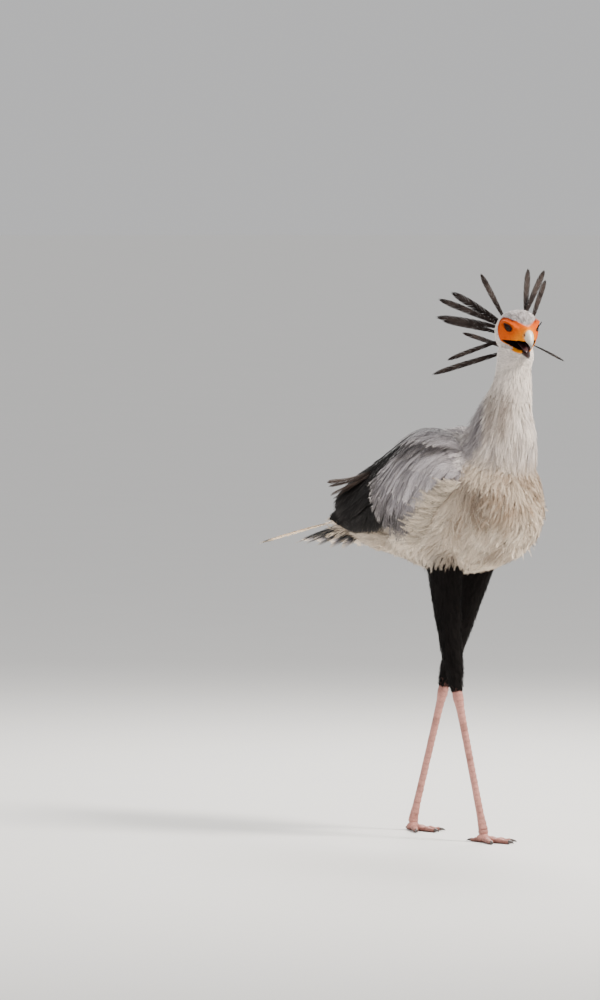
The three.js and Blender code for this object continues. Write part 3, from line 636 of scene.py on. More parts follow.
def face_tint(points):
    """Bare skin: red-orange round the eye and at its rim, yellow towards the bill; a painted shadow of the
    brow and lashes round each eye, and painted shade inside the mouth.
    """
    f, l, u = head_place(points)
    depth = inside_by(BARE_OUTLINE, f, u)
    tint = mix(FACE_ORANGE, FACE_YELLOW, (0.9 * ramp(f - 0.5 * u, 14, 44))[..., None])
    tint = mix(tint, FACE_YELLOW, (0.85 * ramp(-u, 33, 38))[..., None])
    rim = (1 - ramp(depth, 0, 8)) * ramp(u, -14, 6)
    red = (0.9 * rim + 0.4 * ramp(lumps(points, 5, 21), 0.5, 0.9)) * ramp(28 - f, 0, 30)
    tint = mix(tint, FACE_RED, red[..., None])
    # A painted shadow of the brow and lashes over the rear of each eye.
    for side in (-1, 1):
        centre, gaze, along, across = eye_axes(side)
        away = points - centre
        a = (away @ along - BROW_SHADOW_MIDDLE[0]) / BROW_SHADOW_HALF[0]
        b = (away @ across - BROW_SHADOW_MIDDLE[1]) / BROW_SHADOW_HALF[1]
        near = (1 - ramp(np.hypot(a, b), 0.75, 1.2)) * (away @ gaze > 0)
        tint = mix(tint, EYE_BROW_SHADOW, (0.9 * near)[..., None])
    # Painted shade inside the open mouth, down to the lower lip's rim.
    inner = ramp(skull_half(f, u) - np.abs(l), 0.8, 2.2)
    mouth = ramp(inside_by(MOUTH_SHADE_OUTLINE, f, u), -2.2, -1.2) * inner
    return mix(tint, MOUTH_PAINTED_SHADE, mouth[..., None])


# Forms of the body

SKULL = track([
    (-86, 8, -14, -36), (-81, 25, 3, -52), (-67, 39, 18, -68), (-46, 46, 28, -74), (-25, 46.5, 35, -72),
    (-6, 41, 36.5, -64), (10, 32, 30, -58), (24, 22, 18, -54), (36, 14, 8, -51),
])
SKULL_POWER = 2.15  # a little fuller than an ellipse


def skull_half(f, u):
    """The skull's half width at a place seen from the side."""
    half, top, bottom = np.moveaxis(SKULL(f), -1, 0)
    rise = np.clip(np.abs(2 * u - top - bottom) / (top - bottom), 0, 1)
    return half * (1 - rise**SKULL_POWER) ** (1 / SKULL_POWER)


NECK = track([
    (985, -143, 51, 60, 9), (1012, -154, 47, 50, 12), (1040, -160, 43, 44, 14), (1066, -164, 41, 41, 14),
    (1092, -168, 41, 43, 12), (1112, -172, 36, 38, 12),
])
BROW = [(-27, 40, 5, 4), (-12, 38, 11, 6), (3, 33.5, 11.5, 6), (15, 26, 8, 5), (24, 18, 4, 3.5)]


def skull_form(bm):
    steps = 0.5 - 0.5 * np.cos(np.linspace(0, math.pi, 34))
    loops = []
    for f in mix(-86, 36, steps):
        half, top, bottom = SKULL(f)
        half *= mix(1, 0.8, ramp(f, 24, 32))  # the bill's horn lies over its front
        loops.append(ring(bm, on_head(f, 0, top), on_head(f, 0, bottom), LEFT, half, 40, SKULL_POWER))
    loft(bm, loops)


def brow_form(bm, side):
    loops = []
    for f, l, u, half in through(BROW, 14):
        upper, lower = (on_head(f, side * l, u + half * rise) for rise in (0.7, -0.7))
        loops.append(ring(bm, upper, lower, LEFT, half, 14))
    loft(bm, loops)


def neck_top_form(bm):
    loops = []
    for z in np.linspace(990, 1110, 16):
        y, half, depth, lean = NECK(z)
        reach = np.array((0, math.cos(math.radians(lean)), math.sin(math.radians(lean)))) * depth
        middle = np.array((0, y, z))
        loops.append(ring(bm, middle + reach, middle - reach, ACROSS, half, 36))
    loft(bm, loops)


def mouth_tool():
    bm = bmesh.new()
    outline = [bm.verts.new(on_head(f, -60, u)) for f, u in MOUTH_OUTLINE]
    face = bm.faces.new(outline)
    pulled = bmesh.ops.extrude_face_region(bm, geom=[face])["geom"]
    across = Vector(LEFT * 120)
    bmesh.ops.translate(bm, vec=across, verts=[v for v in pulled if isinstance(v, bmesh.types.BMVert)])
    return mesh_of(bm, "mouth_tool")


def eye_axes(side):
    """Centre of an eye, the way it looks, and the directions along and across its opening."""
    turn = math.radians(GAZE_FORWARD)
    gaze = unit(LEFT * side * math.cos(turn) + FORWARD * math.sin(turn))
    along = unit(np.cross(gaze, CROWN))
    along = along * np.sign(along @ FORWARD)
    along = unit(along - EYE_SLANT * CROWN)
    across = unit(np.cross(gaze, along))
    return on_head(EYE_BACK, side * EYE_SPACING / 2, 0), gaze, along, across * np.sign(across @ CROWN)


def shape_lids(points):
    """Draws the skin over the eyeballs and sinks it behind them between the lids."""
    for side in (-1, 1):
        centre, gaze, along, across = eye_axes(side)
        away = points - centre
        reach = np.linalg.norm(away, axis=1)
        a, b = away @ along, away @ across
        spread = np.hypot(a / EYE_OPENING[0], b / EYE_OPENING[1])
        facing = (away @ gaze > 0) & (reach < 34)
        lid = mix(EYE_RADIUS + 1.5, reach, ramp(spread, 1.3, 2.3))
        wanted = np.where(spread < 1.04, EYE_RADIUS - 3, lid)
        points = np.where(facing[:, None], centre + away * (wanted / reach)[:, None], points)
    return points


def head_skin():
    bm = bmesh.new()
    skull_form(bm)
    for side in (-1, 1):
        brow_form(bm, side)
    neck_top_form(bm)
    mesh = remeshed(mesh_of(bm, "head"), HEAD_VOXEL * 1.5)
    mesh = smoothed(mesh, 6)
    mesh = remeshed(cut_away(mesh, mouth_tool()), HEAD_VOXEL)
    mesh = smoothed(mesh, 3)
    points, normals = points_of(mesh), normals_of(mesh)
    feathered = 1 - ramp(bare_face(points), -3, 0.5)
    in_mouth = ramp(open_mouth(points), -2, 0)
    depth = mix(mix(4.5, 2.2, head_share(points)) * feathered, 0.3, in_mouth)
    put_points(mesh, shape_lids(points - normals * depth[:, None]))
    return thinned(mesh, HEAD_THINNING)


# Folded wing: upper edge, widest line and lower edge, each as distance from the midline and height
WING = track([
    (-112, 100, 832, 108, 820, 110, 806), (-85, 84, 880, 118, 844, 120, 780),
    (-50, 70, 909, 129, 856, 130, 758), (0, 58, 922, 137, 852, 135, 728),
    (50, 53, 924, 139, 836, 134, 692), (90, 51, 917, 136, 816, 128, 670),
    (132, 50, 901, 128, 794, 118, 668), (180, 48, 876, 114, 775, 104, 673),
    (233, 46, 845, 97, 758, 88, 679), (290, 44, 812, 78, 742, 72, 684),
    (350, 43, 778, 60, 727, 58, 689), (400, 42, 742, 50, 713, 50, 694),
    (430, 42, 716, 46, 706, 46, 696),
])
WING_MIDDLE = 0.45


def wing_spot(side, along, across):
    """Places on the wing's outer face and the normals there: along Y, and across from upper to lower edge."""
    along, across = np.broadcast_arrays(np.asarray(along, float), np.asarray(across, float))

    def spot(y, share):
        row = WING(y)
        top = (share - WING_MIDDLE) * (share - 1) / WING_MIDDLE
        middle = share * (share - 1) / (WING_MIDDLE * (WING_MIDDLE - 1))
        low = share * (share - WING_MIDDLE) / (1 - WING_MIDDLE)
        x = top * row[..., 0] + middle * row[..., 2] + low * row[..., 4]
        z = top * row[..., 1] + middle * row[..., 3] + low * row[..., 5]
        return np.stack([side * x, y, z], axis=-1)

    at = spot(along, across)
    normal = unit(np.cross(spot(along + 2, across) - at, spot(along, across + 0.02) - at))
    return at, normal * np.sign(normal[..., :1] * side)


def wing_slab(bm, side):
    """The flesh of the folded wing, as a slab against the trunk."""
    loops = []
    for y in np.linspace(-106, 250, 22):
        trim = ramp(y, 60, 340)
        shares = np.linspace(mix(0.02, 0.1, trim), mix(0.95, 0.72, trim), 10)
        face, normal = wing_spot(side, np.full(10, y), shares)
        bulge = np.sin(math.pi * (0.12 + 0.76 * np.linspace(0, 1, 10)))
        thick = mix(38, 10, ramp(y, 150, 250))
        outer = face - normal * 3
        inner = outer - normal * (thick * bulge)[:, None]
        loop = bmesh.ops.create_circle(bm, segments=20, radius=1)["verts"]
        for vert, spot in zip(loop, np.concatenate([outer, inner[::-1]])):
            vert.co = Vector(spot)
        loops.append(own_edges(loop))
    loft(bm, loops)


TAIL_CORE = [(300, 748, 656, 26), (350, 738, 658, 26), (375, 722, 660, 21), (398, 704, 664, 13)]


def tail_core(bm):
    loops = []
    for y, top, low, half in through(TAIL_CORE, 10):
        upper, lower = np.array((0, y, top)), np.array((0, y, low))
        loops.append(ring(bm, upper, lower, ACROSS, half, 20, 2.2))
    loft(bm, loops)


def coat_depth(points):
    """How deep the skin lies under the coat's outline."""
    depth = mix(9.5, 5.5, ramp(points[:, 2], 800, 900))
    depth = mix(depth, 4.5, ramp(points[:, 2], 960, 1040))
    depth = mix(depth, 5, ramp(points[:, 1], 100, 260))
    return np.where(on_thigh(points), 6, depth)


def node_form(bm, name):
    """Adds a copy of one of the solids."""
    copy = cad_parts[name].data.copy()
    put_points(copy, points_of(copy) * 1000 - SHIFT)
    bm.from_mesh(copy)
    bpy.data.meshes.remove(copy)


def body_skin():
    bm = bmesh.new()
    for name in ("torso", "neck", "thigh_left", "thigh_right"):
        node_form(bm, name)
    bmesh.ops.remove_doubles(bm, verts=bm.verts, dist=0.02)
    for side in (-1, 1):
        wing_slab(bm, side)
    tail_core(bm)
    mesh = smoothed(remeshed(mesh_of(bm, "body"), BODY_VOXEL), 6)
    for times in (3, 3):
        points, normals = points_of(mesh), normals_of(mesh)
        put_points(mesh, points - normals * (coat_depth(points) / 2)[:, None])
        smoothed(mesh, times)
    return mesh


def joined(*meshes):
    bm = bmesh.new()
    for mesh in meshes:
        bm.from_mesh(mesh)
    made = bpy.data.meshes.new("skin")
    bm.to_mesh(made)
    bm.free()
    return made


class Surface:
    """A skin to grow feathers on: its points and normals, and a tree for finding the nearest place."""

    def __init__(self, mesh):
        mesh.calc_loop_triangles()
        corners = np.empty(len(mesh.loop_triangles) * 3, np.int32)
        mesh.loop_triangles.foreach_get("vertices", corners)
        self.triangles = corners.reshape(-1, 3)
        self.points, self.normals = points_of(mesh), normals_of(mesh)
        a, b, c = (self.points[self.triangles[:, i]] for i in range(3))
        self.areas = np.linalg.norm(np.cross(b - a, c - a), axis=1) / 2
        self.tree = BVHTree.FromPolygons(self.points.tolist(), self.triangles.tolist())

    def scatter(self, spacing, wanted):
        """Random roots about spacing apart where wanted(points) holds."""
        weight = self.areas * wanted(self.points[self.triangles].mean(axis=1))
        count = int(3 * weight.sum() / spacing**2)
        chosen = draw.choice(len(weight), count, p=weight / weight.sum())
        shares = draw.dirichlet((1, 1, 1), count)[..., None]
        points = (self.points[self.triangles[chosen]] * shares).sum(axis=1)
        normals = unit((self.normals[self.triangles[chosen]] * shares).sum(axis=1))
        cells = np.floor(points / spacing + 0.37).astype(int)
        _, first = np.unique(cells, axis=0, return_index=True)
        first.sort()
        return points[first], normals[first]

    def nearest(self, points):
        flat = points.reshape(-1, 3)
        found, normals = np.empty_like(flat), np.empty_like(flat)
        for i, point in enumerate(flat.tolist()):
            spot, normal, _, _ = self.tree.find_nearest(point)
            found[i], normals[i] = spot, normal
        return found.reshape(points.shape), normals.reshape(points.shape)

    def lay(self, roots, normals, ways, lengths, low, high):
        """Shafts of four steps that follow the skin from their roots, and the normals along them."""
        share = np.linspace(0, 1, 5)
        free = roots[:, None] + ways[:, None] * (lengths[:, None] * share)[..., None]
        found, facing = self.nearest(free)
        hold = 1 - ramp(np.linalg.norm(free - found, axis=-1, keepdims=True), 12, 36)
        facing = unit(mix(normals[:, None], facing, hold))
        low, high = (np.broadcast_to(rise, lengths.shape)[:, None] for rise in (low, high))
        return mix(free, found, hold) + facing * mix(low, high, share**1.2)[..., None], facing


# Feathers

class Form:
    """How a kind of feather is built.

    Its barbs a side leave the shaft from the share start on, sweep towards the tip, stray by loose, bend
    down by camber, and fill a share of the room between them. Point is how wide they are at their ends.
    """

    def __init__(self, barbs, outline, start, sweep, loose, camber, point, fill=1.0, shaft=0.0):
        self.barbs, self.outline, self.start, self.sweep = barbs, np.array(outline, float), start, sweep
        self.loose, self.camber, self.point, self.fill, self.shaft = loose, camber, point, fill, shaft

    def width(self, s):
        return np.interp(s, self.outline[:, 0], self.outline[:, 1])


ROUND = [(0, 0.1), (0.15, 0.6), (0.35, 0.95), (0.6, 1), (0.8, 0.92), (0.92, 0.66), (0.98, 0.34), (1.02, 0.06)]
LONG = [(0, 0.3), (0.12, 0.7), (0.3, 0.95), (0.7, 1), (0.9, 0.88), (0.97, 0.6), (1.01, 0.25), (1.03, 0.05)]
LOOSE_ROUND = [(0, 0.2), (0.2, 0.7), (0.45, 1), (0.7, 0.95), (0.86, 0.72), (0.97, 0.4), (1.04, 0.12)]
WISP = [(0, 0.25), (0.2, 0.8), (0.45, 1), (0.7, 0.78), (0.88, 0.44), (1.02, 0.08)]
STRAP = [(0, 0.35), (0.15, 0.6), (0.35, 0.85), (0.6, 1), (0.82, 0.96), (0.93, 0.66), (1.02, 0.06)]

DOWNY = Form(6, WISP, start=0, sweep=3.4, loose=0.26, camber=0.16, point=0.1, fill=0.5)
SHORT_DOWNY = Form(5, WISP, start=0, sweep=4.4, loose=0.2, camber=0.12, point=0.12, fill=0.5)
TINY = Form(3, WISP, start=0, sweep=6, loose=0.2, camber=0.12, point=0.12, fill=0.5)
COVERT = Form(8, ROUND, start=0.04, sweep=2, loose=0.13, camber=0.14, point=0.25, fill=0.7)
FRAYED = Form(17, LOOSE_ROUND, 0.03, sweep=2.4, loose=0.12, camber=0.14, point=0.2, fill=0.72, shaft=0.7)
QUILL = Form(34, LONG, start=0.04, sweep=1.2, loose=0.04, camber=0.12, point=0.7, shaft=1.3)
PLUME = Form(30, STRAP, start=0.02, sweep=1.6, loose=0.03, camber=0.05, point=0.8, shaft=1.2)


class Feathers:
    """Points and faces of many feathers, with a place along and across each for its colours."""

    PARTS = ("points", "normals", "quads", "along", "across", "ridge", "owner")

    def __init__(self):
        self.total = self.count = 0
        for part in self.PARTS:
            setattr(self, part, [])

    def add(self, points, normals, quads, along, across, ridge, owner):
        self.points.append(points.reshape(-1, 3))
        self.normals.append(unit(normals.reshape(-1, 3)))
        self.quads.append(quads.reshape(-1, 4) + self.total)
        self.total += self.points[-1].shape[0]
        self.along.append(along.ravel())
        self.across.append(across.ravel())
        self.ridge.append(ridge.ravel())
        self.owner.append(owner.ravel() + self.count)

    def close(self):
        """Joins what was added into whole arrays, once."""
        if isinstance(self.points, list):
            for part in self.PARTS:
                setattr(self, part, np.concatenate(getattr(self, part)))
            self.face_outwards()

    def face_outwards(self):
        """Turns round the faces that look against the normals of their corners."""
        corners = self.points[self.quads]
        facing = np.cross(corners[:, 2] - corners[:, 0], corners[:, 3] - corners[:, 1])
        wrong = (facing * self.normals[self.quads].sum(axis=1)).sum(-1) < 0
        self.quads[wrong] = self.quads[wrong][:, ::-1]


def read_along(rows, s):
    """Rows along each shaft, read at shares s, past the tip too."""
    last = rows.shape[1] - 1
    held = np.clip(s, 0, 1)
    i = np.minimum((held * last).astype(int), last - 1)
    part = (s * last - i)[..., None]
    which = np.arange(rows.shape[0]).reshape(-1, *[1] * (s.ndim - 1))
    return rows[which, i] * (1 - part) + rows[which, i + 1] * part


def add_barbs(made, spine, side, out, lengths, halves, form):
    """The vane: barbs from the shaft out to the outline, as strips of two quads."""
    count, barbs = spine.shape[0], form.barbs
    base = mix(form.start, 0.965, np.linspace(0, 1, barbs + 1))
    slim = (halves / lengths)[:, None]
    end = np.minimum(base + form.sweep * slim * form.width(base) * 1.2 + 0.012, 0.985 + 0.035 * base)
    base = np.broadcast_to(base, end.shape)
    edges = np.stack([np.stack([base[:, :-1], base[:, 1:]], -1), np.stack([end[:, :-1], end[:, 1:]], -1)], -2)
    edges[..., 1] = mix(edges[..., 0], edges[..., 1], form.fill)
    middle = edges.mean(axis=-1, keepdims=True)
    # Stations from the shaft out: where along the shaft, how wide the strip, how far out
    stations = np.stack([
        edges[..., 0, :],
        mix(edges[..., 0, :], edges[..., 1, :], 0.5),
        middle[..., 1, :] + (edges[..., 1, :] - middle[..., 1, :]) * form.point,
    ], axis=-2)
    stations = np.stack([stations, stations], axis=1)
    jitter = draw.normal(0, 1, (count, 2, barbs, 3)) * form.loose
    weight = np.array((0, 0.5, 1))[:, None]
    s = stations + jitter[..., 0, None, None] * weight * 0.12
    t = np.broadcast_to(np.array((0, 0.62, 1))[:, None], s.shape)
    reach = form.width(np.clip(s, 0, 1.02)) * t * (1 + jitter[..., 1, None, None] * weight)
    out_by = halves[:, None, None, None, None] * reach
    sign = np.array((-1, 1))[:, None, None, None]
    rise = jitter[..., 2, None, None] * weight * halves[:, None, None, None, None] * 0.8
    rise = rise - form.camber * out_by * t
    outward, sideways = read_along(out, s), read_along(side, s)
    points = read_along(spine, s) + sideways * (out_by * sign)[..., None] + outward * rise[..., None]
    normals = outward + sideways * (sign * t * (0.15 + 1.6 * form.camber))[..., None]
    number = np.arange(count * 2 * barbs)[:, None, None] * 6
    quads = number + np.array([(0, 1, 3, 2), (2, 3, 5, 4)])
    ridge = np.broadcast_to(np.arange(barbs)[:, None, None] + np.array((0, 1.0)), s.shape)
    owner = np.broadcast_to(np.arange(count)[:, None, None, None, None], s.shape)
    made.add(points, normals, quads, s, t, ridge, owner)


def add_shafts(made, spine, side, out, thick):
    """The shaft as a thin ridge on the vane. Its place across is -1, so that colours can tell it."""
    count, steps = spine.shape[0], spine.shape[1]
    share = np.linspace(0, 1, steps)
    half = (thick / 2 * mix(1, 0.25, share))[None, :, None]
    points = np.stack([spine - side * half, spine + out * half * 1.1, spine + side * half], axis=2)
    start = (np.arange(count)[:, None] * steps + np.arange(steps - 1)) * 3
    quads = start[..., None, None] + np.array([(0, 1, 4, 3), (1, 2, 5, 4)])
    each = points.shape[:3]
    along = np.broadcast_to(share[None, :, None], each)
    owner = np.broadcast_to(np.arange(count)[:, None, None], each)
    normals = np.stack([out - side, out, out + side], axis=2)
    made.add(points, normals, quads, along, np.full(each, -1.0), np.zeros(each), owner)


def grow(made, spine, facing, lengths, widths, form, twist=0.0):
    """Adds feathers on shafts given as points, with the outward normals there."""
    tangent = unit(np.gradient(spine, axis=1))
    side = unit(np.cross(facing, tangent))
    out = unit(np.cross(tangent, side))
    turn = np.broadcast_to(twist, lengths.shape)[:, None, None]
    side, out = side * np.cos(turn) + out * np.sin(turn), out * np.cos(turn) - side * np.sin(turn)
    add_barbs(made, spine, side, out, lengths, widths / 2, form)
    if form.shaft:
        add_shafts(made, spine, side, out, form.shaft)
    made.count += len(lengths)


def coat(name, made, tints, corners, slot, patch=BAKE_PATCH, replaced=()):
    """A coat piece from grown feathers, each with a patch of the bake map, given by its corner."""
    made.close()
    mesh = bpy.data.meshes.new(name)
    mesh.from_pydata(made.points, [], made.quads)
    paint(mesh, tints)
    ridge = mesh.attributes.new("ridge", "FLOAT", "POINT")
    ridge.data.foreach_set("value", made.ridge.astype(np.float32))
    within = np.clip(np.stack([made.across, made.along], -1), 0, 1)
    spot = corners[made.owner] + within * np.array(patch)
    layer = mesh.uv_layers.new(name="OFBake")
    layer.data.foreach_set("uv", spot[made.quads.ravel()].astype(np.float32).ravel())
    piece(name, mesh, PLUMAGES[slot], replaced)
    mesh.normals_split_custom_set_from_vertices(made.normals)


def cell_coat(name, made, tints, slot, columns=10, replaced=()):
    """A coat piece of large feathers, which have a cell each in a grid over the bake map."""
    number = np.arange(made.count)
    corners = np.stack([(number % columns) / columns, (number // columns) / CELL_ROWS], -1) + CELL_MARGIN
    patch = (CELL_FILL / columns, CELL_FILL / CELL_ROWS)
    coat(name, made, tints, corners, slot, patch, replaced)


def own_shade(made, spread):
    """Makes each feather a little lighter or darker than the rest."""
    return (1 + spread * draw.normal(0, 1, made.count))[made.owner][:, None]


def shade_down(made, tint, root_shade=0.55, full_at=0.5, spread=0.1, paler_edge=0.0):
    """A coat's tints: each feather in its own shade, darker towards its root with painted shade, and paler at
    its edge.
    """
    own = 1 + spread * draw.normal(0, 1, made.count)
    # Painted shade: each feather darker towards its root, where the feathers over it would shade it.
    depth = mix(root_shade, 1, ramp(made.along, 0, full_at))
    edge = 1 + paler_edge * ramp(made.across, 0.5, 1)
    return tint[made.owner] * (np.clip(own, 0.6, 1.4)[made.owner] * depth * edge)[:, None]


def around(points, centre, ways, low, high):
    """Root places on an unwrap of a long round form: turn about its axis, and height along it."""
    away = points - np.array(centre)
    along, first, second = (np.array(w, float) for w in ways)
    turn = np.arctan2(away @ first, away @ second) / (2 * math.pi) + 0.5
    height = (away @ along - low) / (high - low)
    return np.stack([0.01 + 0.97 * turn, 0.01 + 0.97 * np.clip(height, 0, 1)], axis=-1)


def turned(ways, normals, points, spread, waves):
    """Directions brought onto the skin, turned in broad waves and a little at random."""
    flat = unit(ways - normals * (ways * normals).sum(-1, keepdims=True))
    side = np.cross(normals, flat)
    angle = draw.normal(0, spread, len(flat)) + waves * (lumps(points, 34, 41) - 0.5)
    angle = angle[:, None]
    return flat * np.cos(angle) + side * np.sin(angle)


def lie(points):
    """The way the coat lies: down the neck and breast, back over the trunk, down the thighs."""
    x, y, z = points[:, 0], points[:, 1], points[:, 2]
    zero = np.zeros(len(points))
    back = np.stack([0.15 * np.sign(x), zero + 1, -0.42 + zero], -1)
    down = np.stack([0.25 * np.sign(x) * ramp(np.abs(x), 5, 60), zero + 0.12, zero - 1], -1)
    breast = np.maximum(1 - ramp(y, -150, -20), neck_share(points))
    way = mix(back, down, breast[:, None])
    hanging = ramp(z, 740, 640)
    way = mix(way, np.stack([0.3 * x / 120, 0.45 + zero, zero - 0.8], -1), (hanging * (1 - breast))[:, None])
    behind = ramp(y, 150, 230) * ramp(z, 760, 700)
    way = mix(way, np.stack([zero, zero + 1, zero + 0.05], -1), behind[:, None])
    head = np.broadcast_to(-FORWARD - 0.15 * CROWN, points.shape)
    way = mix(unit(way), head, head_share(points)[:, None])
    for leg in LEGS.values():
        run = unit(np.array(leg["ankle"], float) - np.array(leg["knee"], float))
        mine = (on_thigh(points) & (np.sign(x) == leg["side"]))[:, None]
        way = np.where(mine, run, way)
    return way


def body_coat(name, skin, wanted, spacing, lengths, widths, low, high, form, slot, unwrap, **shades):
    """Small feathers scattered over a part of the skin, from low at their roots to high at their tips."""
    roots, normals = skin.scatter(spacing, wanted)
    ways = turned(lie(roots), normals, roots, shades.pop("stray", 0.12), shades.pop("waves", 0.5))
    scale = 1 + 0.14 * draw.normal(0, 1, len(roots))
    long = lengths(roots) * np.clip(scale, 0.6, 1.5)
    rise = high(roots) * np.clip(1 + 0.25 * draw.normal(0, 1, len(roots)), 0.3, 1.8)
    rise = rise * mix(0.75, 1.3, lumps(roots, 30, 43))
    spine, facing = skin.lay(roots, normals, ways, long, low, rise)
    made = Feathers()
    twist = draw.normal(0, shades.pop("twist", 0.12), len(roots))
    grow(made, spine, facing, long, widths(roots) * np.clip(scale, 0.7, 1.3), form, twist)
    made.close()
    tints = shade_down(made, plumage(roots), **shades)
    coat(name, made, tints, around(roots, *unwrap), slot)


def under_wing(points):
    """True where the folded wing's large feathers lie over the flesh, behind its wrist."""
    x, y, z = points[:, 0], points[:, 1], points[:, 2]
    row = WING(np.clip(y, -110, 380))
    return (y > 150) & (y < 400) & (np.abs(x) > 20) & (z > row[:, 5] + 4) & (z < row[:, 1] - 4)


TRUNK_UNWRAP = ((0, 20, 760), ((0, 1, 0), (1, 0, 0), (0, 0, 1)), -250, 420)
NECK_UNWRAP = ((0, -140, 0), ((0, 0, 1), (1, 0, 0), (0, 1, 0)), 850, 1120)
HEAD_UNWRAP = (HEAD_MIDDLE, (FORWARD, LEFT, CROWN), -100, 60)
QUARTER_Y = -60  # where the trunk's front and rear pieces meet


def flat(value):
    """The same value everywhere."""
    return lambda points: np.full(len(points), float(value))


def trunk_coats(skin):
    """Breast, belly, flanks and vent in soft white plumes, in four pieces."""

    def soft(points):
        low = (neck_share(points) < 0.6) & ~on_thigh(points)
        edge = GREY_EDGE(points[:, 2])[:, 0]
        white = (points[:, 1] < edge + 26) | (points[:, 2] < 690) | (points[:, 1] > 235)
        return low & white & ~under_wing(points)

    def long(points):
        return mix(52, 38, ramp(points[:, 2], 800, 900)) * mix(1, 0.6, ramp(points[:, 2], 690, 630))

    def rise(points):
        return mix(8.5, 5, ramp(points[:, 2], 780, 900))

    for end, side in itertools.product(("front", "rear"), ("left", "right")):

        def quarter(points, in_front=end == "front", on_left=side == "left"):
            here = ((points[:, 1] < QUARTER_Y) == in_front) & ((points[:, 0] >= 0) == on_left)
            return soft(points) & here

        body_coat(
            f"plumes_{end}_{side}", skin, quarter, 5.3, long, flat(9.5), 0.5, rise, DOWNY, "plumage_white",
            TRUNK_UNWRAP, stray=0.26, waves=1.3, twist=0.4, root_shade=0.66,
        )


def back_coat(skin):
    """Mantle, back and lesser coverts in short rounded grey feathers."""

    def grey(points):
        edge = GREY_EDGE(points[:, 2])[:, 0]
        upper = (points[:, 1] > edge - 10) & (points[:, 2] > 690) & (points[:, 1] < 268)
        covered = (np.abs(points[:, 0]) > 52) & (points[:, 1] > 10)
        return upper & ~covered & (neck_share(points) < 0.7)

    def long(points):
        return mix(32, 42, ramp(points[:, 1], -80, 60))

    body_coat(
        "feathers_back", skin, grey, 7.6, long, flat(16), 0.8, flat(4.6), COVERT, "plumage_grey",
        TRUNK_UNWRAP, stray=0.14, spread=0.13, root_shade=0.6, paler_edge=0.3,
    )


def neck_coats(skin):
    """Fine plumes down the neck, fuller at the nape, in a left and a right piece."""

    def long(points):
        return mix(40, 17, ramp(points[:, 2], 890, 1080))

    def rise(points):
        y, z = points[:, 1], points[:, 2]
        nape = ramp(y, -150, -95) * ramp(z, 890, 940) * (1 - ramp(z, 990, 1040))
        return mix(5.4, 3.0, ramp(z, 900, 1080)) + 7 * nape

    for name, side in SIDES.items():

        def half(points, side=side):
            on_neck = (neck_share(points) > 0.35) & (head_share(points) < 0.75)
            return on_neck & (points[:, 0] * side > 0)

        body_coat(
            f"neck_plumes_{name}", skin, half, 4.2, long, flat(5.6), 0.4, rise, SHORT_DOWNY, "plumage_white",
            NECK_UNWRAP, stray=0.14, waves=0.45, twist=0.3, root_shade=0.74, full_at=0.45,
        )


def head_coat(skin):
    """Tiny feathers on the head, up to the edge of the bare skin."""

    def feathered(points):
        in_mouth = open_mouth(points) > -1.5
        return (head_share(points) > 0.4) & (bare_face(points) < -0.6) & ~in_mouth

    def long(points):
        return mix(5.5, 10, ramp(-head_place(points)[0], 0, 60)) * mix(1.25, 1, head_share(points))

    body_coat(
        "head_feathers", skin, feathered, 2.1, long, flat(2.7), 0.2, flat(1.7), TINY, "plumage_white",
        HEAD_UNWRAP, stray=0.22, twist=0.3, spread=0.12, root_shade=0.6,
    )


HEM_DROP = 8  # how far the trousers reach below the ankle


def trouser_coats(skin):
    """Short black feathers down both upper legs to the ankle."""
    for name, leg in LEGS.items():
        unwrap = ((leg["thigh"][0], leg["thigh"][1], 0), ((0, 0, 1), (1, 0, 0), (0, 1, 0)), 300, 640)
        hem = leg["ankle"][2] - HEM_DROP

        def sleeve(points, side=leg["side"], hem=hem):
            between = (points[:, 2] > hem + 7) & (points[:, 2] < 630)
            return on_thigh(points) & (points[:, 0] * side > 0) & between

        def long(points, hem=hem):
            return np.clip(points[:, 2] - hem, 9, 27)

        body_coat(
            f"trouser_feathers_{name}", skin, sleeve, 4.5, long, flat(8), 0.4, flat(4.5), SHORT_DOWNY,
            "plumage_black", unwrap, stray=0.18, waves=0.6, twist=0.3, spread=0.3, root_shade=0.7,
        )


# Wing feathers in rows from the lowest layer to the top one: how many, the first and the last root, the
# first and the last tip (each as along and across), width, lift at the tip, bulge of the row of tips,
# colour and share of pale edging
FLIGHT_ROWS = {
    "primaries": (7, (200, 0.62), (225, 0.34), (372, 0.96), (428, 0.42), 30, -3, 0, BLACK, 0),
    "secondaries": (17, (56, 0.62), (205, 0.5), (104, 0.84), (362, 1.0), 34, 1, 0, BLACK, 0.04),
    "tertials": (12, (112, 0.4), (128, -0.06), (376, 0.62), (402, -0.05), 36, 4, 0, BLACK, 0.04),
}
COVERT_ROWS = {
    "greater": (16, (22, 0.66), (116, 0.2), (58, 1.07), (230, 0.3), 32, 6, 0.1, LOW_GREY, 0.7),
    "median": (15, (-20, 0.62), (92, 0.16), (28, 0.98), (196, 0.26), 30, 7, 0.07, GREY, 0.5),
    "lesser": (14, (-58, 0.58), (56, 0.12), (-8, 0.93), (150, 0.34), 28, 8, 0.06, SILVER, 0.5),
    "shoulder": (13, (-84, 0.5), (16, 0.12), (-42, 0.84), (104, 0.36), 27, 8.8, 0.05, SILVER, 0.4),
    "wrist": (11, (-104, 0.42), (-24, 0.1), (-76, 0.74), (58, 0.36), 25, 9, 0.05, SILVER, 0.6),
    "low_scapulars": (11, (-66, 0.06), (64, 0.02), (-26, 0.42), (132, 0.28), 33, 11, 0.05, DARK_GREY, 0.3),
    "scapulars": (11, (-86, 0.02), (72, -0.02), (-26, 0.3), (140, 0.1), 34, 13, 0.04, GREY, 0.5),
}
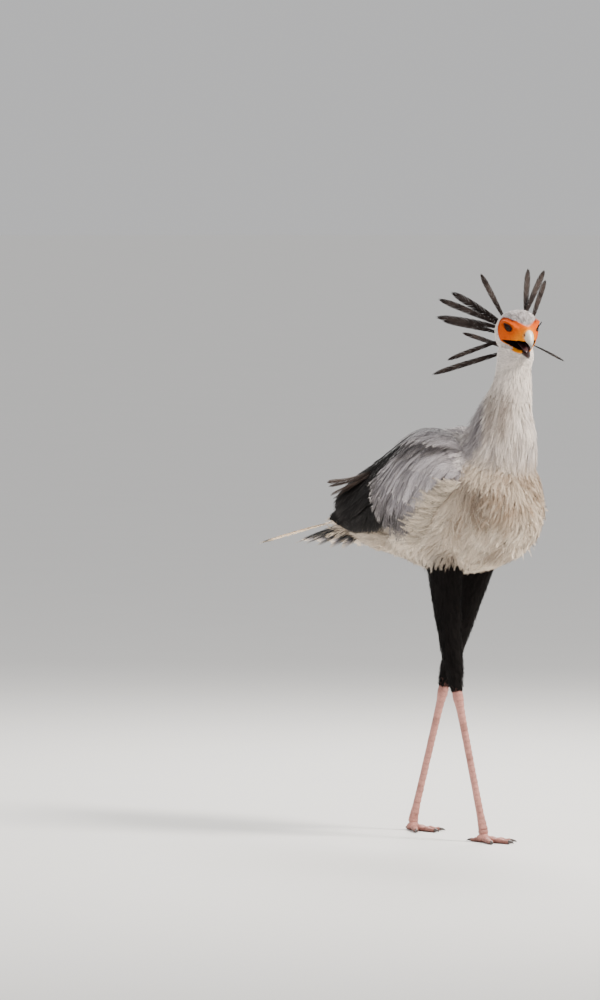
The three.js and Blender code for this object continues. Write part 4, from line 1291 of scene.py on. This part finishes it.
FLANK_ROWS = {
    "tufts": (60, (-110, 0.86), (34, 1.12), (-80, 0.7), (84, 0.99), 9, 9, 0, FLANK_CREAM, 0),
    "wisps": (60, (-108, 0.96), (16, 1.16), (-86, 0.8), (60, 1.05), 9, 11, 0, FLANK_CREAM, 0),
}
EVEN_TIPS = (6, 0.02)  # how far a row's tips stray along and across
STRAY_TIPS = (15, 0.08)
SHINGLE = 0.16
ROOT_DEPTH = 6

# The lowest coverts in front are darker: the height where this begins, how far it takes, and up to which Y
DARK_HEM = (752, 40, 130)


def wing_row(made, side, form, stray, row):
    """Adds one row of feathers, each laid over the wing's face from its root to its tip."""
    count, root_a, root_b, tip_a, tip_b, width, lift, bulge, tint, edging = row
    k = np.linspace(0, 1, count)
    root = mix(np.array(root_a), np.array(root_b), k[:, None])
    tip = mix(np.array(tip_a), np.array(tip_b), k[:, None])
    tip[:, 0] += stray[0] * draw.uniform(-1, 1, count)
    tip[:, 1] += bulge * np.sin(math.pi * k) + stray[1] * draw.uniform(-1, 1, count)
    s = np.linspace(0, 1, 13)
    spot = root[:, None] + (tip - root)[:, None] * s[None, :, None]
    at, normal = wing_spot(side, spot[..., 0], spot[..., 1])
    lifts = lift * (1 + 0.12 * draw.normal(0, 1, count))
    height = mix(-ROOT_DEPTH, lifts[:, None], np.sqrt(s)) + 0.35 * (np.arange(count) % 2)[:, None]
    spine = at + normal * height[..., None]
    lengths = np.linalg.norm(np.diff(spine, axis=1), axis=-1).sum(axis=1)
    widths = width * (1 + 0.08 * draw.normal(0, 1, count))
    twist = -side * SHINGLE + 0.05 * draw.normal(0, 1, count)
    grow(made, spine, normal, lengths, widths, form, twist)
    return np.broadcast_to(tint, (count, 3)), np.full(count, edging)


def edged(made, shaded, edging):
    """Wing feathers streaked along their barbs, with pale frayed rims."""
    strands = lumps(np.stack([made.along * 5, made.ridge * 0.9, made.owner * 7.0], -1), 1, 31)
    rim = np.maximum(ramp(made.across, 0.55, 1), ramp(made.along, 0.82, 1.0))
    pale = edging[made.owner] * rim * ramp(strands, 0.15, 0.7)
    return mix(shaded * mix(0.82, 1.12, strands)[:, None], PALE_GREY, pale[:, None])


def wing_feathers(name, side):
    """One folded wing: black flight feathers, grey coverts and the flank's white tufts over them."""
    # Each part: its rows, form, how far tips stray, slot, painted shade at the feathers' roots, and the
    # solids it replaces.
    parts = {
        "flight_feathers": (FLIGHT_ROWS, QUILL, EVEN_TIPS, "plumage_black", 0.6, ()),
        "wing_coverts": (COVERT_ROWS, FRAYED, EVEN_TIPS, "plumage_grey", 0.36, (f"wing_{name}",)),
        "flank_plumes": (FLANK_ROWS, DOWNY, STRAY_TIPS, "plumage_white", 0.7, ()),
    }
    for part, (rows, form, stray, slot, root_shade, replaced) in parts.items():
        made = Feathers()
        tints, edging = zip(*(wing_row(made, side, form, stray, row) for row in rows.values()))
        made.close()
        shaded = shade_down(made, np.concatenate(tints), root_shade, full_at=0.6, spread=0.19)
        shaded = edged(made, shaded, np.concatenate(edging))
        if rows is COVERT_ROWS:
            top, fall, front = DARK_HEM
            hem = ramp(top - made.points[:, 2], 0, fall) * (made.points[:, 1] < front)
            shaded = shaded * mix(1, 0.5, hem)[:, None]
        shaded = np.where((made.across < 0)[:, None], shaded * 0.7, shaded)
        cell_coat(f"{part}_{name}", made, shaded, slot, columns=12, replaced=replaced)


# Worn feathers that stand off the wing's upper line: rise at the tip, length and width
LOOSE_FEATHERS = [(44, 168, 20), (30, 158, 13), (8, 152, 26), (-6, 140, 18)]


def free_spines(roots, ways, lengths, droops, steps):
    """Shafts that run free from their roots and bend by droops towards their tips."""
    s = np.linspace(0, 1, steps + 1)
    run = ways[:, None] * (lengths[:, None] * s)[..., None]
    return roots[:, None] + run + droops[:, None] * (s * s)[None, :, None]


def loose_feathers():
    """The worn feathers that stand off both wings over the tail's root."""
    made, lengths, widths = Feathers(), [], []
    roots, ways, droops, facing = [], [], [], []
    for side in (-1, 1):
        for i, (rise, length, width) in enumerate(LOOSE_FEATHERS):
            at, normal = wing_spot(side, 268 - 4 * i, 0.02 + 0.03 * i)
            roots.append(at + normal * 1.5)
            ways.append(unit((0.02 * side * (i % 2), 1, -0.42)))
            droops.append(np.array((0, 0, rise * 0.75)))
            facing.append(normal)
            lengths.append(length)
            widths.append(width)
    arrays = [np.array(a, float) for a in (roots, ways, lengths, droops)]
    spine = free_spines(*arrays, 12)
    normals = np.repeat(np.array(facing)[:, None], spine.shape[1], axis=1)
    grow(made, spine, normals, arrays[2], np.array(widths, float), QUILL, 0.3)
    made.close()
    brown = np.broadcast_to(WORN_BROWN, (made.count, 3))
    tints = shade_down(made, brown, root_shade=0.5, spread=0.15)
    cell_coat("loose_wing_feathers", made, tints, "plumage_black")


# Tail feathers in pairs from the long middle pair to the short outer pair: root height, tip along Y,
# tip height, tip distance from the midline, roof angle, width
TAIL_PAIRS = [
    (716, 727, 630, 5, 10, 17), (710, 578, 642, 9, 14, 30), (704, 538, 643, 13, 20, 32),
    (697, 494, 642, 17, 28, 32), (690, 446, 641, 20, 36, 32), (683, 405, 641, 22, 44, 31),
]
TAIL_STAGGER = 3.2
TAIL_ROOT_Y = 338


def tail_tints(made, lengths):
    """Grey feathers with a black band and a white tip; the two streamers turn pale towards theirs."""
    from_tip = (1 - made.along) * lengths[made.owner]
    short = mix(GREY, BLACK, ramp(from_tip, 22, 30)[:, None] * (1 - ramp(from_tip, 130, 160))[:, None])
    short = mix(CREAM, short, ramp(from_tip, 8, 16)[:, None])
    edge = ramp(made.across, 0.72, 1) * ramp(lumps(made.points, 9, 4), 0.35, 0.7)
    short = mix(short, CREAM, 0.6 * edge[:, None])
    long = mix(CREAM * (1, 0.9, 0.76), GREY, ramp(from_tip, 190, 330)[:, None])
    spot = ramp(from_tip, 10, 16) * (1 - ramp(from_tip, 34, 44))
    long = mix(long, BLACK, spot[:, None])
    streamer = made.owner < 2
    return np.where(streamer[:, None], long, short) * own_shade(made, 0.06)


def tail_feathers():
    roots, tips, facing, widths = [], [], [], []
    for root_z, tip_y, tip_z, tip_x, roof, width in TAIL_PAIRS:
        for side in (-1, 1):
            over = TAIL_STAGGER if side > 0 else 0
            roots.append((side * 5, TAIL_ROOT_Y, root_z + over))
            tips.append((side * tip_x, tip_y, tip_z + over))
            angle = math.radians(roof)
            facing.append((side * math.sin(angle), 0, math.cos(angle)))
            widths.append(width)
    roots, tips, facing = np.array(roots, float), np.array(tips, float), np.array(facing)
    lengths = np.linalg.norm(tips - roots, axis=1)
    droops = np.zeros_like(roots)
    droops[:, 2] = -0.03 * lengths
    spine = free_spines(roots, unit(tips - roots - droops), lengths, droops, 20)
    normals = np.repeat(facing[:, None], spine.shape[1], axis=1)
    made = Feathers()
    grow(made, spine, normals, lengths, np.array(widths, float), QUILL)
    made.close()
    cell_coat("tail_feathers", made, tail_tints(made, lengths), "plumage_grey", replaced=("tail",))


def vent_coat(skin):
    """Long soft coverts over and under the tail's root."""

    def rump(points):
        return (points[:, 1] > 268) & ~under_wing(points)

    def long(points):
        return mix(42, 74, ramp(points[:, 1], 280, 380))

    body_coat(
        "tail_coverts", skin, rump, 9, long, flat(24), 0.8, flat(6), DOWNY, "plumage_white", TRUNK_UNWRAP,
        stray=0.14, spread=0.08, root_shade=0.62,
    )


# Crest feathers: root as forward, left and up in the head's axes, then roll round the head's back axis
# (0 is up, + is left), spread from that axis, length, width and twist
CREST = [
    (-69, -25, -10, -67, 21, 171, 18, 0), (-68, -27, -14, -78, 33, 170, 15, 0.2),
    (-62, -32, -18, -100, 32, 169, 18, 0), (-64, -27, -32, -95, 32, 154, 13, 0.2),
    (-36, -13, -61, -78, 43, 114, 11, 0.4), (-57, -23, -47, -128, 50, 141, 11, 0.5),
    (-31, -10, -63, -115, 67, 178, 13, 0.3), (-68, -20, 2, -6, 21, 158, 13.5, -0.3),
    (-49, 23, 15, 36, 31, 157, 14, -0.6), (-45, 22, 18, 50, 41, 156, 14, -0.6),
    (-38, 36, 4, 46, 39, 141, 13, -0.5), (-13, 33, -44, 117, 65, 120, 10, 0.9),
    (-66, 18, -12, 115, 20, 150, 15, 0), (-60, 26, -26, 122, 31, 150, 15, 0.2),
    (-60, 8, -34, 155, 22, 140, 14, 0), (-45, 16, -52, 140, 40, 125, 12, 0.4),
]
CREST_SINK = 6


def crest_feathers():
    """The raised crest, of strap-shaped feathers that fan out behind the head."""
    table = np.array(CREST, float)
    roll, spread = np.radians(table[:, 3]), np.radians(table[:, 4])
    out = np.sin(roll)[:, None] * LEFT + np.cos(roll)[:, None] * CROWN
    ways = -np.cos(spread)[:, None] * FORWARD + np.sin(spread)[:, None] * out
    roots = on_head(table[:, 0], table[:, 1], table[:, 2]) - ways * CREST_SINK
    lengths = table[:, 5] + CREST_SINK
    spine = free_spines(roots, ways, lengths, -5 * CROWN + 6 * out, 16)
    normals = np.broadcast_to(FORWARD, spine.shape)
    made = Feathers()
    grow(made, spine, normals, lengths, table[:, 6], PLUME, table[:, 7])
    made.close()
    wash = ramp(made.along, 0.3, 0.55) * (1 - ramp(made.along, 0.84, 0.95))
    wash = wash * (1 - ramp(made.across, 0.5, 0.95)) * ramp(lumps(made.points, 13, 8), 0.2, 0.6)
    tints = mix(CREST_BLACK, CREST_WASH, (0.4 * wash)[:, None]) * own_shade(made, 0.1)
    cell_coat("crest_feathers", made, tints, "plumage_black", replaced=("head",))


# Face: eyes, lids, lashes, bill and tongue

PUPIL_LEVEL = 0.003
LASH_WIDTH = 1.1


def eyeball(name, side):
    """An eye with a low cornea, coloured by the angle from the way it looks."""
    centre, gaze, _, _ = eye_axes(side)
    bm = bmesh.new()
    bmesh.ops.create_uvsphere(bm, u_segments=40, v_segments=28, radius=EYE_RADIUS)
    look = Vector((0, 0, 1)).rotation_difference(Vector(gaze)).to_matrix()
    bmesh.ops.rotate(bm, verts=bm.verts, matrix=look)
    mesh = mesh_of(bm, name)
    points = points_of(mesh)
    lean = np.degrees(np.arccos(np.clip(unit(points) @ gaze, -1, 1)))
    cornea = 0.5 * (1 - ramp(lean, 10, 36))
    put_points(mesh, points * (1 + cornea[:, None] / EYE_RADIUS) + centre)
    iris = mix(IRIS_BROWN, IRIS_RIM, ramp(lean, 24, 38)[:, None])
    tint = mix(PUPIL_LEVEL, iris, ramp(lean, 13, 16)[:, None])
    paint(mesh, mix(tint, EYE_WHITE, ramp(lean, 42, 50)[:, None]))
    piece(f"eyeball_{name}", mesh, EYE, (f"eye_{name}",))


def lid_spot(side, turn, radius):
    """A place on the lids' edge, at a turn round the opening and a distance from the eye's middle."""
    centre, gaze, along, across = eye_axes(side)
    a = EYE_OPENING[0] * 1.04 * math.cos(turn)
    b = EYE_OPENING[1] * 1.04 * math.sin(turn) * (1 - 0.22 * math.cos(turn) ** 2)
    return centre + a * along + b * across + math.sqrt(radius**2 - a * a - b * b) * gaze


def lid_rim(name, side):
    """The rim of both lids, as a rounded cord that follows the opening over the eyeball."""
    centre = eye_axes(side)[0]
    bm, loops = bmesh.new(), []
    for i in range(48):
        turn = 2 * math.pi * i / 48
        spot = lid_spot(side, turn, EYE_RADIUS + 0.9)
        outward = unit(spot - centre)
        run = unit(lid_spot(side, turn + 0.05, EYE_RADIUS + 0.9) - spot)
        across = np.cross(outward, run)
        thick = 1.25 + 0.5 * max(0.0, math.sin(turn))
        loops.append(ring(bm, spot + outward * 0.8, spot - outward * 0.8, across, thick, 8))
    for before, after in zip(loops, loops[1:] + loops[:1]):
        bmesh.ops.bridge_loops(bm, edges=before + after)
    mesh = mesh_of(bm, name)
    paint(mesh, LID_BROWN)
    piece(f"lid_rim_{name}", mesh, FACE)


def lashes(name, side):
    """The long lashes of the upper lid, as bare shafts that fan out and curve up."""
    _, gaze, along, across = eye_axes(side)
    turns = np.radians(np.linspace(28, 158, 17))
    roots = np.array([lid_spot(side, t, EYE_RADIUS + 1.6) for t in turns])
    fan = (np.cos(turns) * 0.75 - 0.35)[:, None] * along
    ways = unit(0.75 * gaze + 0.5 * across + fan)
    lengths = 5.5 + 2 * np.sin(turns) + draw.uniform(-1, 1, len(turns))
    spine = free_spines(roots, ways, lengths, np.broadcast_to(3.5 * across - 1.5 * along, roots.shape), 6)
    tangent = unit(np.gradient(spine, axis=1))
    sideways = unit(np.cross(np.broadcast_to(across, spine.shape), tangent))
    made = Feathers()
    add_shafts(made, spine, sideways, unit(np.cross(tangent, sideways)), LASH_WIDTH)
    made.count = len(turns)
    cell_coat(f"lashes_{name}", made, LASH_BLACK, "plumage_black")


# The bill's rings: top and bottom, each as forward and up in the head's axes, and half width
UPPER_BILL = [
    (34, 7.5, 33, -22.5, 12.5), (41, 7, 41, -22, 11), (49, 3, 49, -22.5, 9), (56, -4, 54.5, -23.5, 6.8),
    (60.5, -12, 57.5, -25, 4.8), (62.5, -20, 59.5, -27.5, 2.8), (62.2, -28, 60.3, -30.5, 1.2),
]
UPPER_TIP = (61, -32)
LOWER_BILL = [
    (25, -43, 25, -51, 13), (34, -45, 34, -53, 10.5), (42, -47.5, 42, -54.5, 8), (49, -50, 48.5, -56, 5.2),
    (53.5, -52, 53, -55.5, 2.4),
]
LOWER_TIP = (55.5, -54)
# The tongue's rings: forward, top, bottom and half width
TONGUE = [(0, -31, -38, 9), (16, -34.5, -41.5, 8), (28, -38, -44.5, 6), (36, -41.5, -45.5, 3.4)]
TONGUE_TIP = (40, -44)
NOSTRIL = (39.5, 11, -4)


def bill_mesh(rows, tip, count):
    bm, loops = bmesh.new(), []
    for top_f, top_u, low_f, low_u, half in through(rows, count):
        loops.append(ring(bm, on_head(top_f, 0, top_u), on_head(low_f, 0, low_u), LEFT, half, 44, 2.1))
    loft(bm, loops, on_head(tip[0], 0, tip[1]))
    return mesh_of(bm, "bill")


def bill_upper():
    """The hooked upper bill, with nostrils painted dark as their shade, the edge of the yellow cere and a
    painted highlight along its ridge.
    """
    mesh = bill_mesh(UPPER_BILL, UPPER_TIP, 44)
    points, normals = points_of(mesh), normals_of(mesh)
    f, l, u = head_place(points)
    slot = np.hypot((f - NOSTRIL[0] + 0.4 * (u - NOSTRIL[2])) / 4.2, (u - NOSTRIL[2]) / 3.0)
    pit = (1 - ramp(slot, 0.7, 1.2)) * (np.abs(l) > 4)
    cere_edge = 1 - ramp(np.abs(f - 41.5), 0, 1.4)
    put_points(mesh, points - normals * (3.2 * pit + 0.35 * cere_edge)[:, None])
    horn = mix(HORN_PALE, HORN_GREY, ramp(-u, 8, 28)[:, None])
    # A painted highlight along the ridge of the bill.
    ridge = (1 - ramp(np.abs(l), 1.2, 4)) * ramp(u, -20, -4)
    horn = mix(horn, HORN_PAINTED_HIGHLIGHT, 0.8 * ridge[:, None])
    tint = mix(FACE_YELLOW, horn, ramp(f + 0.15 * u, 38.5, 44)[:, None])
    # The nostrils' pits are painted dark as their shade.
    paint(mesh, mix(tint, NOSTRIL_PAINTED_SHADE, pit[:, None]))
    piece("bill_upper_horn", mesh, BILL_HORN, ("bill_upper",))


def bill_lower():
    mesh = bill_mesh(LOWER_BILL, LOWER_TIP, 28)
    f, _, _ = head_place(points_of(mesh))
    horn = mix(FACE_YELLOW, LOWER_HORN, ramp(f, 25, 33)[:, None])
    # The lower bill's faces turned up into the open mouth take its painted shade.
    paint(mesh, mix(horn, MOUTH_PAINTED_SHADE, ramp(normals_of(mesh) @ CROWN, 0.25, 0.6)[:, None]))
    piece("bill_lower_horn", mesh, BILL_HORN, ("bill_lower",))


def tongue():
    bm, loops = bmesh.new(), []
    for f, top, low, half in through(TONGUE, 16):
        loops.append(ring(bm, on_head(f, 0, top), on_head(f, 0, low), LEFT, half, 20))
    loft(bm, loops, on_head(TONGUE_TIP[0], 0, TONGUE_TIP[1]))
    mesh = mesh_of(bm, "tongue")
    points = points_of(mesh)
    _, left, _ = head_place(points)
    groove = np.exp(-((left / 1.6) ** 2))
    put_points(mesh, points - CROWN * (0.8 * groove)[:, None])
    # Darkened red, as painted shade inside the mouth.
    paint(mesh, TONGUE_RED_IN_SHADE)
    piece("tongue_flesh", mesh, MOUTH, ("tongue",))


# Bare legs and feet

# The lower leg, by the share of its length from the ankle: half width and half depth
SHANK = track([
    (0, 9.5, 12.5), (0.06, 10.5, 13.5), (0.14, 8, 10.5), (0.5, 7, 9), (0.88, 7.4, 9.4),
    (0.96, 9.5, 10.5), (1, 10.5, 11),
])
# Toes: turn from the way the foot points, length and thickness
TOES = {"outer": (33, 64, 0.92), "middle": (2, 78, 1), "inner": (-31, 62, 0.95), "hind": (168, 30, 0.85)}


def shank(name, leg):
    """The scaled lower leg: broad overlapping scutes down its front, small scales behind."""
    ankle, toe = np.array(leg["ankle"], float), np.array(leg["toe"], float)
    along = unit(toe - ankle)
    across = unit(ACROSS - along * along[0])
    front = np.cross(across, along)
    front = front * -np.sign(front[1])
    bm = bmesh.new()
    loops, steps = [], SCUTES * 6
    for i in range(steps + 1):
        s = -0.05 + 1.05 * i / steps
        half, depth = SHANK(max(s, 0))
        centre = mix(ankle, toe, s)
        loops.append(ring(bm, centre + front * depth, centre - front * depth, across, half, 28))
    loft(bm, loops)
    mesh = mesh_of(bm, name)
    points, normals = points_of(mesh), normals_of(mesh)
    s = (points - ankle) @ along / np.linalg.norm(toe - ankle)
    facing = ramp(normals @ front, -0.15, 0.35)
    phase = (s * SCUTES) % 1
    plate = (phase - 0.4) * ramp(1 - phase, 0, 0.12)
    heel = 0.8 * ramp(-(normals @ front), 0.4, 0.9) * (lumps(points, 5, 12) - 0.5)
    put_points(mesh, points + normals * (1.3 * plate * facing + heel)[:, None])
    seam = facing * (1 - ramp(np.minimum(phase, 1 - phase), 0.02, 0.14))
    tint = mix(PINK, PINK_DARK, (0.4 * seam + 0.45 * ramp(lumps(points, 17, 6), 0.4, 0.9))[:, None])
    knobs = np.maximum(ramp(0.12 - s, 0, 0.1), ramp(s, 0.92, 1))
    paint(mesh, mix(tint, PINK_DARK, 0.35 * knobs[:, None]))
    piece(f"scaled_shank_{name}", mesh, LEG_SKIN, (f"shank_{name}",))


def toe_way(leg, turn):
    angle = math.radians(leg["side"] * turn + leg["turn"])
    return np.array((math.sin(angle), -math.cos(angle), 0))


def toe_form(bm, leg, turn, length, thick):
    """A toe with pads below and plates above, which falls from the knuckle to the floor."""
    way, root, radius = toe_way(leg, turn), np.array(leg["toe"], float), TOE_RADIUS * thick
    side = np.cross(way, UPWARD)
    loops = []
    for i in range(41):
        s = i / 40
        swell = 1 + 0.11 * math.cos(6 * math.pi * s)
        plate = 0.06 * (((s * 9) % 1) - 0.5)
        r = radius * swell * mix(1.12, 0.7, s)
        fall = min(1.0, s * 3)
        z = mix(root[2] - 6, r * 0.9, fall * (2 - fall))
        centre = np.array((root[0], root[1], z)) + way * (length * s)
        top = centre + UPWARD * r * (1 + plate)
        loops.append(ring(bm, top, centre - UPWARD * r * 0.9, side, r * 1.04 * (1 + plate / 2), 18))
    loft(bm, loops)


def foot(name, leg):
    """Four toes and the ball and knuckle that join them to the leg, in one skin."""
    bm = bmesh.new()
    for turn, length, thick in TOES.values():
        toe_form(bm, leg, turn, length, thick)
    ball = bmesh.ops.create_uvsphere(bm, u_segments=20, v_segments=12, radius=1)["verts"]
    x, y, _ = leg["toe"]
    for vert in ball:
        vert.co = Vector((x + 15 * vert.co.x, y + 16 * vert.co.y, 9.5 + 10 * vert.co.z))
    knuckle = bmesh.ops.create_uvsphere(bm, u_segments=20, v_segments=12, radius=1)["verts"]
    for vert in knuckle:
        vert.co = Vector(leg["toe"]) + Vector((11.5 * vert.co.x, 12 * vert.co.y, 9 * vert.co.z - 3))
    mesh = smoothed(remeshed(mesh_of(bm, name), 1.3), 1)
    points = points_of(mesh)
    points[:, 2] = np.maximum(points[:, 2], 0.15)
    put_points(mesh, points)
    high = ramp(points[:, 2], 2, 12)
    patch = ramp(lumps(points, 8, 14), 0.3, 0.8)
    paint(mesh, mix(PINK_DARK * 0.8, PINK, (high * mix(0.6, 1, patch))[:, None]))
    piece(f"scaled_foot_{name}", mesh, LEG_SKIN, (f"foot_{name}",))


def claw(name, leg, toe_name):
    """A claw that bends down from the toe's end to a tip just over the floor."""
    turn, length, thick = TOES[toe_name]
    way = toe_way(leg, turn)
    side, radius, size = np.cross(way, UPWARD), TOE_RADIUS * thick * 0.62, CLAW_LENGTH * thick
    ground = np.array((leg["toe"][0], leg["toe"][1], 0.0))
    bm, loops = bmesh.new(), []
    for s in np.linspace(-0.08, 0.94, 16):
        angle = math.radians(62 * s)
        centre = ground + way * (length + size * math.sin(angle) * 0.95)
        centre = centre + UPWARD * (radius * 1.15 + size * (math.cos(angle) - 1) * 0.42 + radius * 0.3 * s)
        r = radius * mix(1, 0.22, max(s, 0))
        reach = unit(UPWARD * math.cos(angle * 0.6) + way * math.sin(angle * 0.6)) * r
        loops.append(ring(bm, centre + reach, centre - reach, side, r * 0.85, 14))
    loft(bm, loops, centre + way * size * 0.08 - UPWARD * 1.2)
    mesh = mesh_of(bm, "claw")
    points = points_of(mesh)
    points[:, 2] = np.maximum(points[:, 2], 0.4)
    put_points(mesh, points)
    far = ramp((points - ground) @ way - length, 0, size)
    paint(mesh, mix(CLAW_ROOT, CLAW_TIP, far[:, None]))
    piece(f"claw_horn_{toe_name}_{name}", mesh, CLAW_HORN, (f"claw_{toe_name}_{name}",))


# The bird

def build_skin():
    """The skin under the coats as one piece, and the surfaces of its head and body to grow them on."""
    head, body = head_skin(), body_skin()
    whole = joined(head, body)
    surfaces = Surface(head), Surface(body)
    points = points_of(whole)
    bare = ramp(bare_face(points), -1, 0.6)
    in_mouth = ramp(open_mouth(points), -1, 0.5)
    bare = np.maximum(bare, in_mouth) * head_share(points)
    # Under the coat the skin takes the plumage's colour, darkened to 0.6 as painted shade beneath the
    # feathers.
    paint(whole, mix(plumage(points) * 0.6, face_tint(points), bare[:, None]))
    piece("skin", whole, FACE, ("torso", "neck", "thigh_left", "thigh_right"))
    return surfaces


def build_bird():
    head, body = build_skin()
    trunk_coats(body)
    back_coat(body)
    vent_coat(body)
    neck_coats(body)
    trouser_coats(body)
    head_coat(head)
    for name, side in SIDES.items():
        wing_feathers(name, side)
        eyeball(name, side)
        lid_rim(name, side)
        lashes(name, side)
    loose_feathers()
    tail_feathers()
    crest_feathers()
    bill_upper()
    bill_lower()
    tongue()
    for name, leg in LEGS.items():
        shank(name, leg)
        foot(name, leg)
        for toe_name in TOES:
            claw(name, leg, toe_name)


# Studio

PHOTO_SIZE = (600, 1000)
MM_PER_PIXEL = 2.25
HIPS_PIXEL = (465.5, 838)  # where the origin of the bird's own frame falls in the picture
VIEW_AZIMUTH = -40
VIEW_ELEVATION = 3
VIEW_DISTANCE = 20.0
SENSOR_WIDTH = 36
LAMP_AIM = 0.8  # height that the lamps face
FLOOR_COLOUR = (0.74, 0.73, 0.71, 1)
HORIZON_LEVEL = 0.6
ZENITH_LEVEL = 0.9


def view_axes():
    azimuth, elevation = math.radians(VIEW_AZIMUTH), math.radians(VIEW_ELEVATION)
    right = np.array((math.cos(azimuth), math.sin(azimuth), 0))
    level = np.array((math.sin(azimuth), -math.cos(azimuth), 0))
    back = level * math.cos(elevation) + UPWARD * math.sin(elevation)
    return right, np.cross(back, right), back


def studio_air():
    """Pale air, brighter overhead, and at the horizon as bright as the floor far away."""
    world = bpy.data.worlds.new("studio_air")
    world.use_nodes = True
    nodes, links = world.node_tree.nodes, world.node_tree.links
    direction, split = nodes.new("ShaderNodeTexCoord"), nodes.new("ShaderNodeSeparateXYZ")
    shade = nodes.new("ShaderNodeValToRGB")
    for element, level in zip(shade.color_ramp.elements, (HORIZON_LEVEL, ZENITH_LEVEL)):
        element.color = (level, level, level * 1.01, 1)
    links.new(direction.outputs["Generated"], split.inputs[0])
    links.new(split.outputs["Z"], shade.inputs[0])
    links.new(shade.outputs["Color"], nodes["Background"].inputs["Color"])
    bpy.context.scene.world = world


def photo_camera(middle, back):
    data = bpy.data.cameras.new("camera")
    data.sensor_width = SENSOR_WIDTH
    data.lens = SENSOR_WIDTH * VIEW_DISTANCE * 1000 / (PHOTO_SIZE[1] * MM_PER_PIXEL)
    data.clip_end = 200
    camera = new_object("camera", data)
    camera.location = Vector(middle + back * VIEW_DISTANCE)
    camera.rotation_euler = Vector(back).to_track_quat("Z", "Y").to_euler()
    bpy.context.scene.camera = camera


def lamp(name, place, size, power, tint):
    """A round lamp that faces the bird's middle."""
    data = bpy.data.lights.new(name, "AREA")
    data.shape, data.size, data.energy, data.color = "DISK", size, power, tint
    made = new_object(name, data)
    made.location = Vector(place)
    made.rotation_euler = Vector(place - UPWARD * LAMP_AIM).to_track_quat("Z", "Y").to_euler()


def pale_floor():
    bm = bmesh.new()
    bmesh.ops.create_circle(bm, cap_ends=True, segments=64, radius=60)
    mesh = bpy.data.meshes.new("floor")
    bm.to_mesh(mesh)
    bm.free()
    recipe = Recipe("pale_floor", Roughness=0.9, Specular_IOR_Level=0.2)
    soft = recipe.noise(3, detail=2)
    recipe.feed("Base Color", recipe.shaded(recipe.node("ShaderNodeRGB"), soft * 0.03 + 0.985))
    recipe.tree.nodes["RGB"].outputs[0].default_value = FLOOR_COLOUR
    mesh.materials.append(recipe.material)
    new_object("floor", mesh)


def studio():
    right, up, back = view_axes()
    middle = right * (PHOTO_SIZE[0] / 2 - HIPS_PIXEL[0]) * MM_PER_PIXEL
    middle = middle + up * (HIPS_PIXEL[1] - PHOTO_SIZE[1] / 2) * MM_PER_PIXEL
    photo_camera((middle + SHIFT) / 1000, back)
    lamp("key_light", right * 2.4 + back * 1.5 + UPWARD * 3.4, 1.0, 360, (1, 0.95, 0.88))
    lamp("fill_light", right * -3.0 + back * 2.2 + UPWARD * 1.8, 2.6, 44, (0.97, 0.98, 1))
    lamp("rim_light", right * 0.4 - back * 2.6 + UPWARD * 3.2, 1.4, 190, (1, 0.97, 0.92))
    studio_air()
    pale_floor()


build_bird()
studio()
